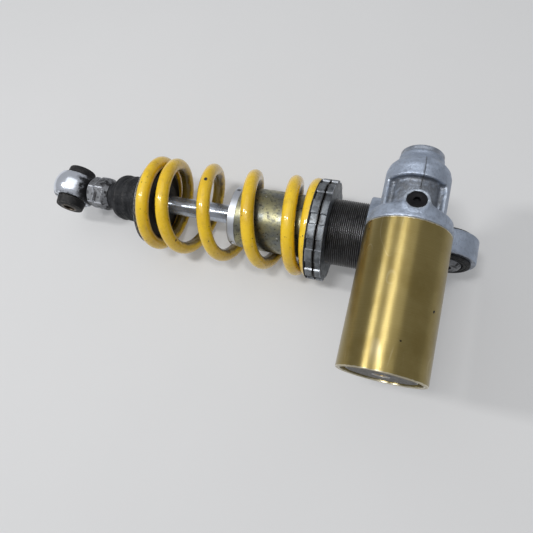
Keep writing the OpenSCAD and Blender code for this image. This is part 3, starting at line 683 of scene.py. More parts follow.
def spring_enamel():
    """Thick gloss enamel: slight orange peel, dark specks, a few chips down to grey primer, one knock mark,
    and dirt with painted shade on the inner side of the coils."""
    t = Finish("spring_enamel", Coat_Weight=0.8, Coat_Roughness=0.06, IOR=1.5, Specular_IOR_Level=0.25)
    base, sizes = tuple(bpy.context.scene.shock_colours.enamel), bpy.context.scene.shock_sizes
    colour = t.mottled(38.0, 0.35, 0.75, base, shade(base, 0.84, 0.8, 0.8))
    colour = t.over(colour, (0.3, 0.17, 0.035), t.group("patches", scale=170.0, low=0.5, high=0.78), 0.36)
    # Dirt, and painted shade on the inner side of the coils.
    colour = t.over(colour, (0.055, 0.038, 0.014), t.group("dirt and crease shade", scale=150.0, amount=0.85))
    colour = t.over(colour, (0.03, 0.024, 0.016), t.group("chips", scale=300.0, share=0.5, size=0.17), 0.85)
    along = t.times(t.minus(t.attribute("turn"), KNOCK_TURN), 2 * np.pi * sizes.coil_radius)
    across = t.times(t.minus(t.attribute("round"), KNOCK_ROUND), sizes.wire_radius)
    away = t.maths("SQRT", t.plus(t.times(along, along), t.times(across, across)))
    knock = t.ease(t.plus(away, t.wander(900.0, 0.0012)), 0.0016, 0.0012)
    bare = t.larger(knock, t.group("chips", scale=75.0, share=0.05, size=0.14))
    colour = t.over(colour, (0.02, 0.019, 0.018), bare)
    ground = t.group("worn edge", scale=420.0, amount=0.42)
    colour = t.over(colour, (0.16, 0.13, 0.1), ground)
    rough = t.ease(t.group("fine grain", scale=220.0), 0.35, 0.75, 0.26, 0.4)
    rough = t.plus(rough, t.times(t.larger(bare, ground), 0.35))
    relief = t.minus(t.group("fine grain", scale=330.0), t.times(bare, 1.5))
    return t.surface(colour, rough, t.bump(relief, 0.00014))


def gold_anodised():
    """Turned and anodised: fine lines round the axis, a slow change of tone, light scuffs and dark specks."""
    t = Finish("gold_anodised", Metallic=1.0, Anisotropic=0.92, Anisotropic_Rotation=0.25)
    base = tuple(bpy.context.scene.shock_colours.gold)
    lines = t.group("turning lines", along=t.along("Y"), pitch=0.00033)
    colour = t.mix(t.ease(lines, 0.3, 0.7), base, shade(base, 1.16, 1.18, 1.35))
    dull = t.group("patches", scale=45.0, low=0.42, high=0.7)
    colour = t.over(colour, shade(base, 0.8, 0.76, 0.66), dull, 0.6)
    scuffs = t.group("scratches", scale=55.0, share=0.26, stretch=(1.0, 0.35, 1.0))
    colour = t.over(colour, (0.75, 0.66, 0.45), scuffs, 0.5)
    colour = t.over(colour, (0.03, 0.025, 0.02), t.group("chips", scale=130.0, share=0.12, size=0.1))
    colour = t.over(colour, (0.8, 0.76, 0.62), t.group("worn edge", scale=500.0, amount=0.6), 0.7)
    smear = t.group("patches", scale=70.0, low=0.35, high=0.7)
    rough = t.maths("MULTIPLY_ADD", smear, 0.06, 0.33)
    return t.surface(colour, rough, t.bump(lines, 0.00003, 0.8), Tangent=t.around("Y"))


def black_anodised():
    """Hard black finish, rubbed grey on edges and thread crests. The plug above the pocket is blacker."""
    t = Finish("black_anodised", Metallic=0.85)
    colour = t.mottled(160.0, 0.4, 0.7, (0.03, 0.031, 0.034), (0.055, 0.056, 0.06))
    colour = t.over(colour, (0.3, 0.3, 0.31), t.group("worn edge", scale=260.0, amount=0.5), 0.6)
    colour = t.over(colour, (0.05, 0.045, 0.036), t.group("dirt and crease shade", scale=300.0, amount=0.6))
    plug = t.maths("GREATER_THAN", t.along("Z"), (RES_Z + 20) / 1000)
    colour = t.over(colour, (0.008, 0.007, 0.008), plug, 0.75)
    return t.surface(colour, t.grainy(600.0, 0.36, 0.5), t.grain_bump(2400.0, 0.00005))


def machined_aluminium():
    """Worn machined metal: short scuffs, dull oxide patches, dark dirt with painted shade in the corners,
    bright edges, and a painted shadow where the two rings meet.
    """
    t = Finish("machined_aluminium", Metallic=0.9)
    colour = t.mottled(170.0, 0.36, 0.66, (0.11, 0.12, 0.132), (0.25, 0.27, 0.29))
    scuffs = t.group("scratches", scale=220.0, share=0.3, stretch=(1.0, 1.0, 0.5))
    colour = t.over(colour, (0.12, 0.12, 0.12), scuffs, 0.7)
    # Dirt, and painted shade on the rings' faces and where they meet.
    colour = t.over(colour, (0.045, 0.042, 0.04), t.group("dirt and crease shade", scale=320.0, amount=0.95))
    colour = t.over(colour, (0.07, 0.066, 0.06), t.group("chips", scale=800.0, share=0.16, size=0.3), 0.7)
    colour = t.over(colour, (0.42, 0.44, 0.48), t.group("worn edge", scale=460.0, amount=0.5))
    # Painted shadow: a near-black band on both rings where they meet.
    between = t.maths("ABSOLUTE", t.minus(t.along("X"), RING_GAP_X / 1000))
    colour = t.over(colour, (0.02, 0.019, 0.018), t.ease(between, 0.00095, 0.0005))
    grain = t.group("fine grain", scale=900.0, stretch=(0.3, 1.0, 1.0))
    return t.surface(colour, t.grainy(500.0, 0.4, 0.58), t.bump(grain, 0.00012))


def turned_metal(name, base, axis, rough, lines, dirt):
    """Bright turned metal with lathe marks along one axis, specks, and a little dirt with painted shade in
    its creases.
    """
    t = Finish(name, Metallic=1.0)
    marks = t.group("turning lines", along=t.along(axis), pitch=0.00028)
    colour = t.mix(t.ease(marks, 0.3, 0.7), shade(base, 0.82), shade(base, 1.08))
    colour = t.over(colour, shade(base, 0.3), t.group("chips", scale=420.0, share=0.12, size=0.16), 0.6)
    # Dirt, and painted shade in the creases and the seal head's pin holes.
    colour = t.over(colour, (0.09, 0.08, 0.07), t.group("dirt and crease shade", scale=240.0, amount=dirt))
    roughness = t.maths("MULTIPLY_ADD", t.group("fine grain", scale=300.0), 0.12, rough)
    return t.surface(colour, roughness, t.bump(marks, lines, 0.7))


def hard_chrome():
    """Chromed shaft: mirror with the faintest draw marks, fine specks and a dull oil film."""
    t = Finish("hard_chrome", Metallic=1.0, Anisotropic=0.8, Anisotropic_Rotation=0.25)
    specks = t.group("chips", scale=500.0, share=0.08, size=0.16)
    colour = t.over((0.5, 0.55, 0.63), (0.12, 0.1, 0.08), specks, 0.7)
    film = t.group("patches", scale=110.0, low=0.5, high=0.75)
    colour = t.over(colour, (0.2, 0.205, 0.22), film, 0.5)
    waves = t.bump(t.group("fine grain", scale=200.0, stretch=(0.08, 1.0, 1.0)), 0.00008)
    ground = t.group("turning lines", along=t.along("X"), pitch=0.0003)
    normal = t.bump(ground, 0.00005, under=waves)
    return t.surface(colour, t.maths("MULTIPLY_ADD", film, 0.1, 0.24), normal, Tangent=t.around("X"))


def grey_anodised():
    """Dull grey cap and seat: speckled, rubbed bright on the edges, and with painted shade inside the spring
    that makes it nearly black there.
    """
    t = Finish("grey_anodised", Metallic=0.8)
    x = t.along("X")
    colour = t.mottled(120.0, 0.38, 0.66, (0.03, 0.026, 0.02), (0.07, 0.062, 0.05))
    colour = t.over(colour, (0.09, 0.085, 0.07), t.group("chips", scale=900.0, share=0.3, size=0.4), 0.5)
    # Painted shade: inside the spring the seat is nearly black and its rubbed edges are held back.
    above_flange = t.maths("GREATER_THAN", x, (SPRING_X0 - 0.4) / 1000)
    hub_in_shade = t.times(above_flange, t.maths("LESS_THAN", x, LOWER_HALF_X))
    colour = t.over(colour, (0.022, 0.022, 0.024), hub_in_shade)
    colour = t.over(colour, (0.05, 0.046, 0.04), t.group("dirt and crease shade", scale=260.0, amount=0.8))
    rubbed = t.minus(0.8, t.times(hub_in_shade, 0.7))
    colour = t.over(colour, (0.66, 0.68, 0.7), t.group("worn edge", scale=420.0, amount=0.62), rubbed)
    return t.surface(colour, t.grainy(700.0, 0.38, 0.55), t.grain_bump(1500.0, 0.00008))


def zinc_steel():
    """Olive zinc plate: cloudy yellow and grey, peppered with dark spots and pale bare marks."""
    t = Finish("zinc_steel", Metallic=0.95)
    base = tuple(bpy.context.scene.shock_colours.plating)
    warm, cold = shade(base, 1.25, 1.18, 0.85), shade(base, 0.75, 0.8, 0.95)
    colour = t.mottled(70.0, 0.35, 0.68, warm, cold)
    colour = t.over(colour, shade(base, 0.55), t.group("patches", scale=260.0, low=0.48, high=0.68))
    colour = t.over(colour, (0.03, 0.026, 0.02), t.group("chips", scale=520.0, share=0.36, size=0.32), 0.85)
    colour = t.over(colour, (0.045, 0.04, 0.03), t.group("patches", scale=330.0, low=0.6, high=0.68), 0.7)
    colour = t.over(colour, (0.6, 0.6, 0.56), t.group("chips", scale=260.0, share=0.12, size=0.2), 0.8)
    # Dirt, and painted shade at the step under the threaded sleeve.
    colour = t.over(colour, (0.05, 0.045, 0.035), t.group("dirt and crease shade", scale=160.0, amount=0.7))
    return t.surface(colour, t.grainy(260.0, 0.27, 0.42), t.grain_bump(900.0, 0.00006))


def polished_steel():
    """Polished rod-end eye, with black paint that has worn back towards the nut."""
    t = Finish("polished_steel", Metallic=1.0)
    specks = t.group("chips", scale=520.0, share=0.14, size=0.22)
    colour = t.over((0.82, 0.87, 0.96), (0.1, 0.1, 0.1), specks, 0.7)
    ragged = t.plus(t.along("X"), t.wander(230.0, 0.014))
    paint = t.ease(ragged, (EYE_X + 9) / 1000, (EYE_X + 15.5) / 1000)
    rim = t.ease(t.maths("ABSOLUTE", t.along("Y")), 0.0093, 0.0105)
    grime = t.times(rim, t.group("patches", scale=300.0, low=0.4, high=0.6))
    cover = t.larger(paint, t.times(grime, 0.8))
    colour = t.over(colour, (0.03, 0.03, 0.032), cover)
    return t.surface(colour, t.maths("MULTIPLY_ADD", cover, 0.36, 0.17), t.grain_bump(800.0, 0.00005))


def dark_steel():
    """Blackened steel with paint knocked off its corners and off parts of its flats. On the head side, round
    the head eye's sleeve, its bright edges are mostly held back as painted shade."""
    t = Finish("dark_steel", Metallic=0.85)
    colour = t.mottled(210.0, 0.4, 0.65, (0.024, 0.024, 0.026), (0.08, 0.08, 0.084))
    colour = t.over(colour, (0.3, 0.31, 0.33), t.group("patches", scale=190.0, low=0.43, high=0.56), 0.65)
    # Painted shade: the bright edges are mostly held back on the head side, round the head eye.
    head_side_shade = t.maths("GREATER_THAN", t.along("X"), LOWER_HALF_X)
    worn = t.group("worn edge", scale=330.0, amount=0.6)
    colour = t.over(colour, (0.5, 0.52, 0.56), worn, t.ease(head_side_shade, 0.0, 1.0, 0.9, 0.1))
    return t.surface(colour, t.grainy(500.0, 0.34, 0.58), t.grain_bump(900.0, 0.0002))


def black_rubber():
    """Old rubber: dull black, dusty on its ridges, with fine cracks."""
    t = Finish("black_rubber", IOR=1.4, Specular_IOR_Level=0.3)
    colour = t.mottled(120.0, 0.35, 0.7, (0.009, 0.0095, 0.011), (0.02, 0.021, 0.024))
    colour = t.over(colour, (0.05, 0.05, 0.052), t.group("patches", scale=520.0, low=0.52, high=0.72), 0.5)
    colour = t.over(colour, (0.1, 0.098, 0.095), t.group("worn edge", scale=500.0, amount=0.4), 0.3)
    cracks = t.group("scratches", scale=420.0, share=0.4, stretch=(1.0, 1.0, 1.0))
    relief = t.minus(t.group("fine grain", scale=700.0), t.times(cracks, 0.8))
    return t.surface(colour, t.grainy(400.0, 0.5, 0.72), t.bump(relief, 0.0002))


def black_bush():
    """Dark dry bush: matte, with grey rubbed spots and dust."""
    t = Finish("black_bush", IOR=1.45, Specular_IOR_Level=0.3)
    colour = t.mottled(260.0, 0.4, 0.7, (0.01, 0.0102, 0.011), (0.028, 0.027, 0.027))
    colour = t.over(colour, (0.08, 0.076, 0.072), t.group("chips", scale=900.0, share=0.25, size=0.3), 0.5)
    colour = t.over(colour, (0.2, 0.19, 0.18), t.group("worn edge", scale=500.0, amount=0.5), 0.5)
    return t.surface(colour, t.grainy(600.0, 0.5, 0.7), t.grain_bump(1200.0, 0.00012))


def black_foam():
    """Cellular bump stop: black, open pored and dusty."""
    t = Finish("black_foam", IOR=1.45)
    colour = t.mottled(110.0, 0.4, 0.7, (0.02, 0.019, 0.018), (0.045, 0.042, 0.038))
    colour = t.over(colour, (0.06, 0.05, 0.04), t.group("dirt and crease shade", scale=200.0, amount=0.9))
    pores = t.group("chips", scale=1100.0, share=0.8, size=0.4)
    return t.surface(colour, t.grainy(400.0, 0.7, 0.9), t.bump(pores, 0.00015, -0.6))


OWN_FINISHES = (
    cast_aluminium,
    spring_enamel,
    gold_anodised,
    black_anodised,
    machined_aluminium,
    hard_chrome,
    grey_anodised,
    zinc_steel,
    polished_steel,
    dark_steel,
    black_rubber,
    black_bush,
    black_foam,
)
FINISHES = {make.__name__: make for make in OWN_FINISHES}

# Colour, axis of turning, roughness, depth of the marks, share of dirt and painted crease shade
TURNED_FINISHES = {
    "polished_aluminium": ((0.64, 0.675, 0.73), "X", 0.33, 0.00002, 0.7),
    "bearing_steel": ((0.12, 0.1, 0.08), "Y", 0.32, 0.00002, 0.9),
    "bronze": ((0.5, 0.31, 0.13), "X", 0.3, 0.00003, 0.7),
    "brass": ((0.34, 0.25, 0.12), "Y", 0.34, 0.00003, 0.9),
}


def finish(slot):
    """The material of a slot, built when first asked for. The frame's plain one gives up the name."""
    known = bpy.data.materials.get(slot)
    if known and known.get("shock_finish"):
        return known
    if known:
        known.name = slot + ".plain"
    material = turned_metal(slot, *TURNED_FINISHES[slot]) if slot in TURNED_FINISHES else FINISHES[slot]()
    material["shock_finish"] = True
    return material


# Pieces


def smooth(u):
    """The curve 3u^2 - 2u^3 between 0 and 1."""
    u = np.clip(u, 0, 1)
    return u * u * (3 - 2 * u)


class SHOCK_OT_spring(bpy.types.Operator):
    """Makes the coil spring"""

    bl_idname = "shock.spring"
    bl_label = "Coil spring"

    def execute(self, context):
        """Sweeps a round wire along the coil: x = closed pitch times the turns plus the open pitch times the
        running sum of an opening curve, angle = the tip's plus the turns, radius fixed. A ring of wire points
        stands square to the coil, and is cut flat at both ground faces."""
        z = context.scene.shock_sizes
        coil, wire, turns, pitch = z.coil_radius * 1000, z.wire_radius * 1000, z.turns, z.closed_pitch * 1000
        rings, sides = int(turns * 96), 32
        t = np.linspace(0, turns, rings)
        closing = smooth((t - (turns - RING_CLOSED - CLOSES_OVER)) / CLOSES_OVER)
        opening = smooth((t - SEAT_CLOSED) / OPENS_OVER) * (1 - closing)
        share = np.concatenate([[0], np.cumsum((opening[1:] + opening[:-1]) / 2)])
        share /= share[-1]
        start, end = SPRING_X0 - wire / 2, SPRING_X1 + wire / 2
        x = start + pitch * t + (end - start - pitch * turns) * share
        a = SPRING_TIP + 2 * np.pi * t
        radial = np.stack([0 * a, -np.sin(a), np.cos(a)], -1)
        centre = coil * radial + np.stack([x, 0 * x, 0 * x], -1)
        tangent = np.gradient(centre, axis=0)
        tangent /= np.linalg.norm(tangent, axis=1)[:, None]
        across = np.cross(tangent, radial)
        turn = np.linspace(0, 2 * np.pi, sides, endpoint=False)[None, :, None]
        points = centre[:, None] + wire * (np.cos(turn) * radial[:, None] + np.sin(turn) * across[:, None])
        ground = np.maximum(SPRING_X0 - points[..., 0], points[..., 0] - SPRING_X1)
        points[..., 0] = np.clip(points[..., 0], SPRING_X0, SPRING_X1)
        # Painted shade: the inner side of each coil, facing the axis, goes into the crease mask.
        inner = np.clip(-np.cos(turn[..., 0]) * 1.3 - 0.25, 0, 1) + 0 * x[:, None]
        masks = {
            "edge": np.clip(1 + ground / 0.5, 0, 1),
            "crease": inner,
            "turn": t[:, None] + 0 * inner,
            "round": (turn[..., 0] + np.pi) % (2 * np.pi) - np.pi + 0 * inner,
        }
        tip = np.arange(1, sides - 1)
        last = (rings - 1) * sides
        caps = [np.stack([0 * tip, tip + 1, tip], -1), last + np.stack([0 * tip, tip, tip + 1], -1)]
        quads = quads_between(rings, sides, False)
        obj = build("coil_spring", points.reshape(-1, 3), quads, np.concatenate(caps), masks)
        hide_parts("spring")
        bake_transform(obj)
        weight = np.repeat(share, sides).astype(np.float32)
        obj.data.materials.append(finish(SLOT["spring"]))
        return {"FINISHED"}


class SHOCK_OT_thread(bpy.types.Operator):
    """Makes the black threaded sleeve"""

    bl_idname = "shock.thread"
    bl_label = "Threaded sleeve"

    def execute(self, context):
        """Winds a thread section up the sleeve: x = pitch times (turns + place in the section), held between
        the sleeve's ends, and radius = root + depth times the section's height. The two end circles close on
        the bore."""
        z = context.scene.shock_sizes
        pitch, depth = z.thread_pitch * 1000, z.thread_depth * 1000
        x0, x1 = span("threaded_sleeve", 0)
        crest = span("threaded_sleeve", 2)[1]
        bore = crest - depth - 1.2
        place = np.array([0.0, 0.1, 0.36, 0.44, 0.56, 0.64, 0.9])
        height = np.array([0.0, 0.02, 0.88, 1.0, 1.0, 0.88, 0.02])
        segments, per = 120, len(place)
        turns = int(np.ceil((x1 - x0) / pitch)) + 1
        a = np.linspace(0, 2 * np.pi, segments, endpoint=False)
        t = np.arange(turns)[:, None, None] - 1 + a[None, None] / (2 * np.pi)
        x = np.clip(x0 + pitch * (t + place[None, :, None]), x0, x1).reshape(-1, segments)
        r = (crest - depth + depth * height[None, :, None] + 0 * t).reshape(-1, segments)
        end = np.clip(x0 + pitch * (turns - 1 + a / (2 * np.pi)), x0, x1)
        rim = np.full(segments, crest - depth)
        hole = np.full(segments, bore)
        x = np.concatenate([x, [end, 0 * a + x1, 0 * a + x0]])
        r = np.concatenate([r, [rim, hole, hole]])
        points = np.stack([x, -r * np.sin(a), r * np.cos(a)], -1).reshape(-1, 3)
        rows, body = len(x), turns * per
        i, j = np.meshgrid(np.arange(rows), np.arange(segments), indexing="ij")
        n = (j + 1) % segments
        wrap = (n == 0) & (i < body)
        step = np.where(wrap, per, 0)
        here = i * segments + j
        side = np.minimum(i + step, body) * segments + n
        ahead = np.where(i + 1 < rows, i + 1, 0)
        up = ahead * segments + j
        far = np.where(ahead == 0, 0, np.minimum(ahead + np.where((n == 0) & (ahead < body), per, 0), body))
        far = np.where(ahead > body, ahead, far) * segments + n
        quads = np.stack([here, side, far, up], -1).reshape(-1, 4)
        spread = points[quads]
        flat = np.linalg.norm(spread - spread.mean(1, keepdims=True), axis=-1).max(1) > 1e-4
        edge = np.concatenate([np.tile(height > 0.95, turns), [False, False, False]])
        masks = {"edge": np.repeat(edge * 0.75, segments), "crease": np.repeat(~edge * 0.5, segments)}
        dress(build("black_thread", points, quads[flat], None, masks, 180), "threaded_sleeve")
        return {"FINISHED"}


class SHOCK_OT_rings(bpy.types.Operator):
    """Makes the two slotted rings"""

    bl_idname = "shock.rings"
    bl_label = "Preload and lock rings"

    def execute(self, context):
        """Carries one outline round the axis. Its radius is the land's, less the slot's depth inside a slot,
        with a short eased wall between. The section runs up one face, over a chamfered rim and down the
        other, and its bore closes it."""
        z = context.scene.shock_sizes
        thread = span("threaded_sleeve", 2)[1] + 0.05
        depth = z.slot_depth * 1000

        def slotted(along, radius, angle, edge):
            pitch = 2 * np.pi / z.slots
            off = np.abs((angle - RING_SLOT_START + pitch / 2) % pitch - pitch / 2) * RING_RADIUS
            half = RING_RADIUS * RING_SLOT_WIDTH / 2
            deep = 1 - smooth((off - half + 0.35) / 0.7)
            outside = np.clip((radius - (RING_RADIUS - depth - 1.2)) / 1.2, 0, 1)
            wall = np.exp(-(((off - half) / 0.5) ** 2))
            near = np.clip((radius - RING_RADIUS + 2.6) / 1.2, 0, 1)
            edge = np.clip(edge * (1 - 0.8 * deep) + 0.8 * wall * near * (off > half - 0.1), 0, 1)
            return along, radius - deep * outside * depth, edge

        for name, node in (("ring_by_spring", "preload_ring"), ("ring_outer", "lock_ring")):
            x0, x1 = span(node, 0)
            profile = [(x0, thread, 0.4), (x0, RING_RADIUS, 0.7), (x1, RING_RADIUS, 0.7), (x1, thread, 0.4)]
            obj = lathe(name, profile, segments=624, step=0.6, shape=slotted, wear=0.55)
            x, r = along_and_radius(obj)
            # The crease mask lays painted shade on the faces, most of all on the faces where the two rings
            # meet.
            inner_face = x > x1 - 0.9 if node == "preload_ring" else x < x0 + 0.9
            face = (r < RING_RADIUS - 0.9) & (r > 36)
            set_crease(obj, np.clip(0.35 * face + 0.95 * inner_face, 0, 1))
            dress(obj, node)
        return {"FINISHED"}


class SHOCK_OT_boot(bpy.types.Operator):
    """Makes the wrinkled rubber boot"""

    bl_idname = "shock.boot"
    bl_label = "Rubber boot"

    def execute(self, context):
        """Turns the boot's outline, then lifts and sinks it: uneven rounded folds across the barrel, whose
        place sways with the angle, and shallow dents that run along it."""
        z = context.scene.shock_sizes
        x0, x1 = span("rubber_boot", 0)
        high = z.fold_height * 1000

        def folded(along, radius, angle, edge):
            u = (along - x0 - 9) / (x1 - x0 - 9)
            sway = u + 0.035 * np.sin(2 * angle + 0.6) + 0.02 * np.sin(5 * angle + 2.1)
            fold = np.abs(np.sin(np.pi * (3.6 * sway + 0.15))) ** 0.6
            fine = 0.3 * np.sin(2 * np.pi * (9 * sway + 0.3 * np.sin(3 * angle)))
            dent = 0.5 * np.sin(3 * angle + 4 * u) + 0.3 * np.sin(7 * angle - 9 * u + 1)
            dent = dent + 0.5 * np.exp(-(((angle - 1.9) / 0.07) ** 2))
            dent = dent - 0.6 * np.exp(-(((angle - 1.75) / 0.08) ** 2))
            outside = np.clip((radius - 10.2) / 1.5, 0, 1) * np.clip(u * 4, 0, 1)
            outside = outside * np.clip((1 - u) * 12, 0, 1)
            lift = high * (fold - 0.72 + 0.45 * fine + 0.55 * dent) - 0.25
            edge = np.clip(edge * 0.6 + outside * (fold > 0.93) * 0.7, 0, 1)
            return along, radius + outside * lift, edge

        neck, barrel = 12.1, 20.2
        outer = [
            (x0, neck - 2.0, 0.2), (x0, neck, 0.6), (x0 + 2.2, neck + 0.2, 0.8),
            (x0 + 4.0, neck + 0.4, 1.0), (x0 + 8.9, barrel - 1.4, 2.5), (x0 + 12.4, barrel, 2.5),
            (x1 - 1.5, barrel, 1.0), (x1, barrel - 0.6, 0.5), (x1, barrel - 2.4, 0.2),
            (x0 + 12.8, barrel - 2.4, 1.0), (x0 + 9.5, barrel - 3.6, 1.0),
            (x0 + 3.0, neck - 2.0, 0.5),
        ]
        dress(lathe("boot", outer, segments=240, step=0.45, shape=folded), "rubber_boot")
        return {"FINISHED"}


def head_form(fillet):
    """The distance function of the head casting, in millimetres from the head eye's centre."""
    rise, out = np.sin(PLUG_TILT), np.cos(PLUG_TILT)
    pocket_half = np.radians(62)
    core, low, high = 16.5, -6.4, 14.7

    def distance(x, y, z):
        main, across = np.hypot(y, z), np.hypot(x, z)
        rx, rz = x - RES_X, z - RES_Z
        stand = np.hypot(rx, rz)
        s0 = SOCKET_X
        outline = [(s0, -9), (s0, 32), (s0 + 14, 32), (s0 + 20, 28), (s0 + 20, -9)]
        socket = turned(x + 0 * main, main, outline, 0.8)
        eye = turned(y + 0 * across, across, [(-9.3, -9), (-9.3, 23), (9.3, 23), (9.3, -9)], 1.2)
        u = np.clip((x + 40.5) / 18.2, 0, 1)
        qy, qz = np.abs(y) - 8.3 * u, np.abs(z) - 19.3 * u
        arm = np.hypot(np.maximum(qy, 0), np.maximum(qz, 0)) + np.minimum(np.maximum(qy, qz), 0)
        arm = arm - 27 + 25 * u
        arm = np.maximum(arm * 0.72, np.maximum(-48.5 - x, x + 20.3))
        bx, bz = -7.0, -46.5
        s = np.clip((rx * bx + (z - RES_Z + 8) * bz) / (bx * bx + bz * bz), 0, 1)
        bridge = np.hypot(rx - s * bx, z - RES_Z + 8 - s * bz) - 14 - 2 * s
        bridge = -join(-bridge, -np.maximum(-7 - 7 * s - y, y - 23 + 5 * s), 4.0)
        collar = [
            (RES_TOP - 9, -9), (RES_TOP - 9, 24.9), (RES_TOP, 24.9), (RES_TOP, 27.9),
            (RES_TOP + 1.6, 28.0), (RES_TOP + 9, 26.8), (RES_TOP + 10.6, 25.4), (low, 23.0),
            (low, -9),
        ]
        tower = [
            (RES_TOP, -9), (RES_TOP, 21.35), (23.0, 21.35), (27.0, 20.2), (30.0, 17.8),
            (32.6, 15.5), (34.0, 15.0), (36.9, 15.0), (36.9, -9),
        ]
        neck = [(34, -9), (34, 14.5), (40.0, 14.5), (40.8, 13.7), (40.8, -9)]
        collar = turned(y + 0 * stand, stand, collar, 0.5)
        tower = turned(y + 0 * stand, stand, tower, 0.8)
        pocket = np.abs(rx) * np.cos(pocket_half) - rz * np.sin(pocket_half)
        pocket = -join(-pocket, stand - core, 2.0)
        pocket = -join(-pocket, -np.maximum(low - y, y - high), 2.4)
        tower = carve(tower, pocket, 0.9)
        px, py = rx - PLUG_X, y - PLUG_Y
        reach = py * rise + rz * out
        about = np.hypot(px, py * out - rz * rise)
        boss = turned(reach + 0 * about, about, [(0, -9), (0, 8.2), (26, 8.2), (26, -9)], 0.5)
        outline = [(0, -9), (0, 15.5), (17, 12.5), (24.0, 6.5), (24.0, -9)]
        skirt = turned(reach + 0 * about, about, outline, 0.5)
        skirt = np.maximum(skirt, py * out - rz * rise - 0.5)
        head = join(collar, join(tower, boss, 2.0), 2.6)
        head = join(head, skirt, 3.2)
        head = join(head, turned(y + 0 * stand, stand, neck, 0.3), 0.3)
        rest = join(join(socket, arm, fillet), eye, fillet)
        head = join(head, join(rest, bridge, fillet), fillet)
        face = np.maximum(across - 20.4, 9.3 - np.abs(y))
        head = carve(head, face, 0.5)
        head = carve(head, across - 17.5, 0.3)
        head = carve(head, np.maximum(main - 26.56, x - s0 - 5), 0.3)
        head = carve(head, np.maximum(main - 24.9, x - s0 - 11.3), 0.2)
        head = carve(head, np.maximum(main - 21, x - s0 - 15), 0.2)
        head = carve(head, np.maximum(stand - 9.6, 34.8 - y), 0.3)
        head = carve(head, np.maximum(stand - 5.1, 0 - y), 0.2)
        head = carve(head, np.maximum(stand - 11, np.maximum(y - 12, RES_TOP - 10 - y)), 0.2)
        head = carve(head, np.maximum(about - 6.35, 22.8 - reach), 0.3)
        return carve(head, np.maximum(about - 4.1, 9 - reach), 0.2)

    return distance


class SHOCK_OT_head(bpy.types.Operator):
    """Makes the cast head"""

    bl_idname = "shock.head"
    bl_label = "Head casting"

    def execute(self, context):
        """Meshes the casting's distance function and marks its machined faces."""
        distance = head_form(context.scene.shock_sizes.fillet * 1000)
        low, high = (np.array(corner) * 1000 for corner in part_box("head_casting"))
        points, quads = net_surface(distance, low - 1.5, high + 1.5, 0.74)
        points = np.clip(points, low, high)
        edge, hollow = form_masks(distance, points)
        x, y, z = points.T
        stand = np.hypot(x - RES_X, z - RES_Z)
        # Painted shade: the pocket under the shoulder is darkened through the crease mask.
        near = (y > -6) * (y < 15) * (z > RES_Z)
        pocket_shade = smooth((20.6 - stand) / 1.5) * smooth((stand - 15.5) / 0.5) * near
        hollow = np.maximum(hollow, 0.6 * pocket_shade)
        machined = smooth((y - 36.5) / 0.5) * (stand < 17)
        machined = np.maximum(machined, (np.hypot(x, z) < 23.5) * (np.abs(y) > 9.15))
        machined = np.maximum(machined, (x < SOCKET_X + 0.5) * 1.0)
        machined = np.maximum(machined, (y < RES_TOP + 0.5) * (stand > 22) * 1.0)
        masks = {"edge": edge, "crease": hollow, "machined": machined}
        obj = build("cast_head", points, quads, None, masks, 50)
        dress(obj, "head_casting")
        return {"FINISHED"}


class SHOCK_OT_lower_eye(bpy.types.Operator):
    """Makes the polished lower eye with its bushes and sleeve"""

    bl_idname = "shock.lower_eye"
    bl_label = "Lower eye"

    def execute(self, context):
        """Meshes a ball cut by two flats, run together with its shank. Turns the bushes and the sleeve."""
        low, high = (np.array(corner) * 1000 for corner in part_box("lower_eye"))
        half, radius = (high[1] - low[1]) / 2, (high[2] - low[2]) / 2

        def distance(x, y, z):
            dx = x - EYE_X
            across = np.hypot(dx, z)
            main = np.hypot(y, z)
            ball = -join(radius - np.hypot(across, y), half - np.abs(y), 0.9)
            shank = np.maximum(main - 7, np.maximum(EYE_X + 8 - x, x - high[0]))
            form = join(ball, shank, 3.5)
            return carve(form, across - 12.5, 0.8)

        points, quads = net_surface(distance, low - 1, high + 1, 0.55)
        points = np.clip(points, low, high)
        edge, hollow = form_masks(distance, points, 1.0)
        dress(build("rod_end", points, quads, None, {"edge": edge, "crease": hollow}, 40), "lower_eye")
        y0, y1 = span("lower_bush_rear", 1)
        for name, node, side in (("bush_front", "lower_bush_front", -1), ("bush_rear", "lower_bush_rear", 1)):
            profile = [(y0, 6.9, 0.3), (y0, 12.6, 0.5), (y1 - 0.6, 11.8, 1.1), (y1, 9.6, 0.8), (y1, 6.9, 0.3)]
            axis = ((0, side, 0), (0, 0, 1))
            obj = lathe(name, profile, axis, (EYE_X, 0, 0), segments=128, step=0.6, wear=0.5)
            dress(obj, node)
        y0, y1 = span("lower_sleeve", 1)
        profile = [(y0, 5.0, 0.5), (y0, 6.8, 0.3), (y1, 6.8, 0.3), (y1, 5.0, 0.5)]
        dress(lathe("sleeve_lower", profile, Y_AXIS, (EYE_X, 0, 0), segments=96), "lower_sleeve")
        return {"FINISHED"}


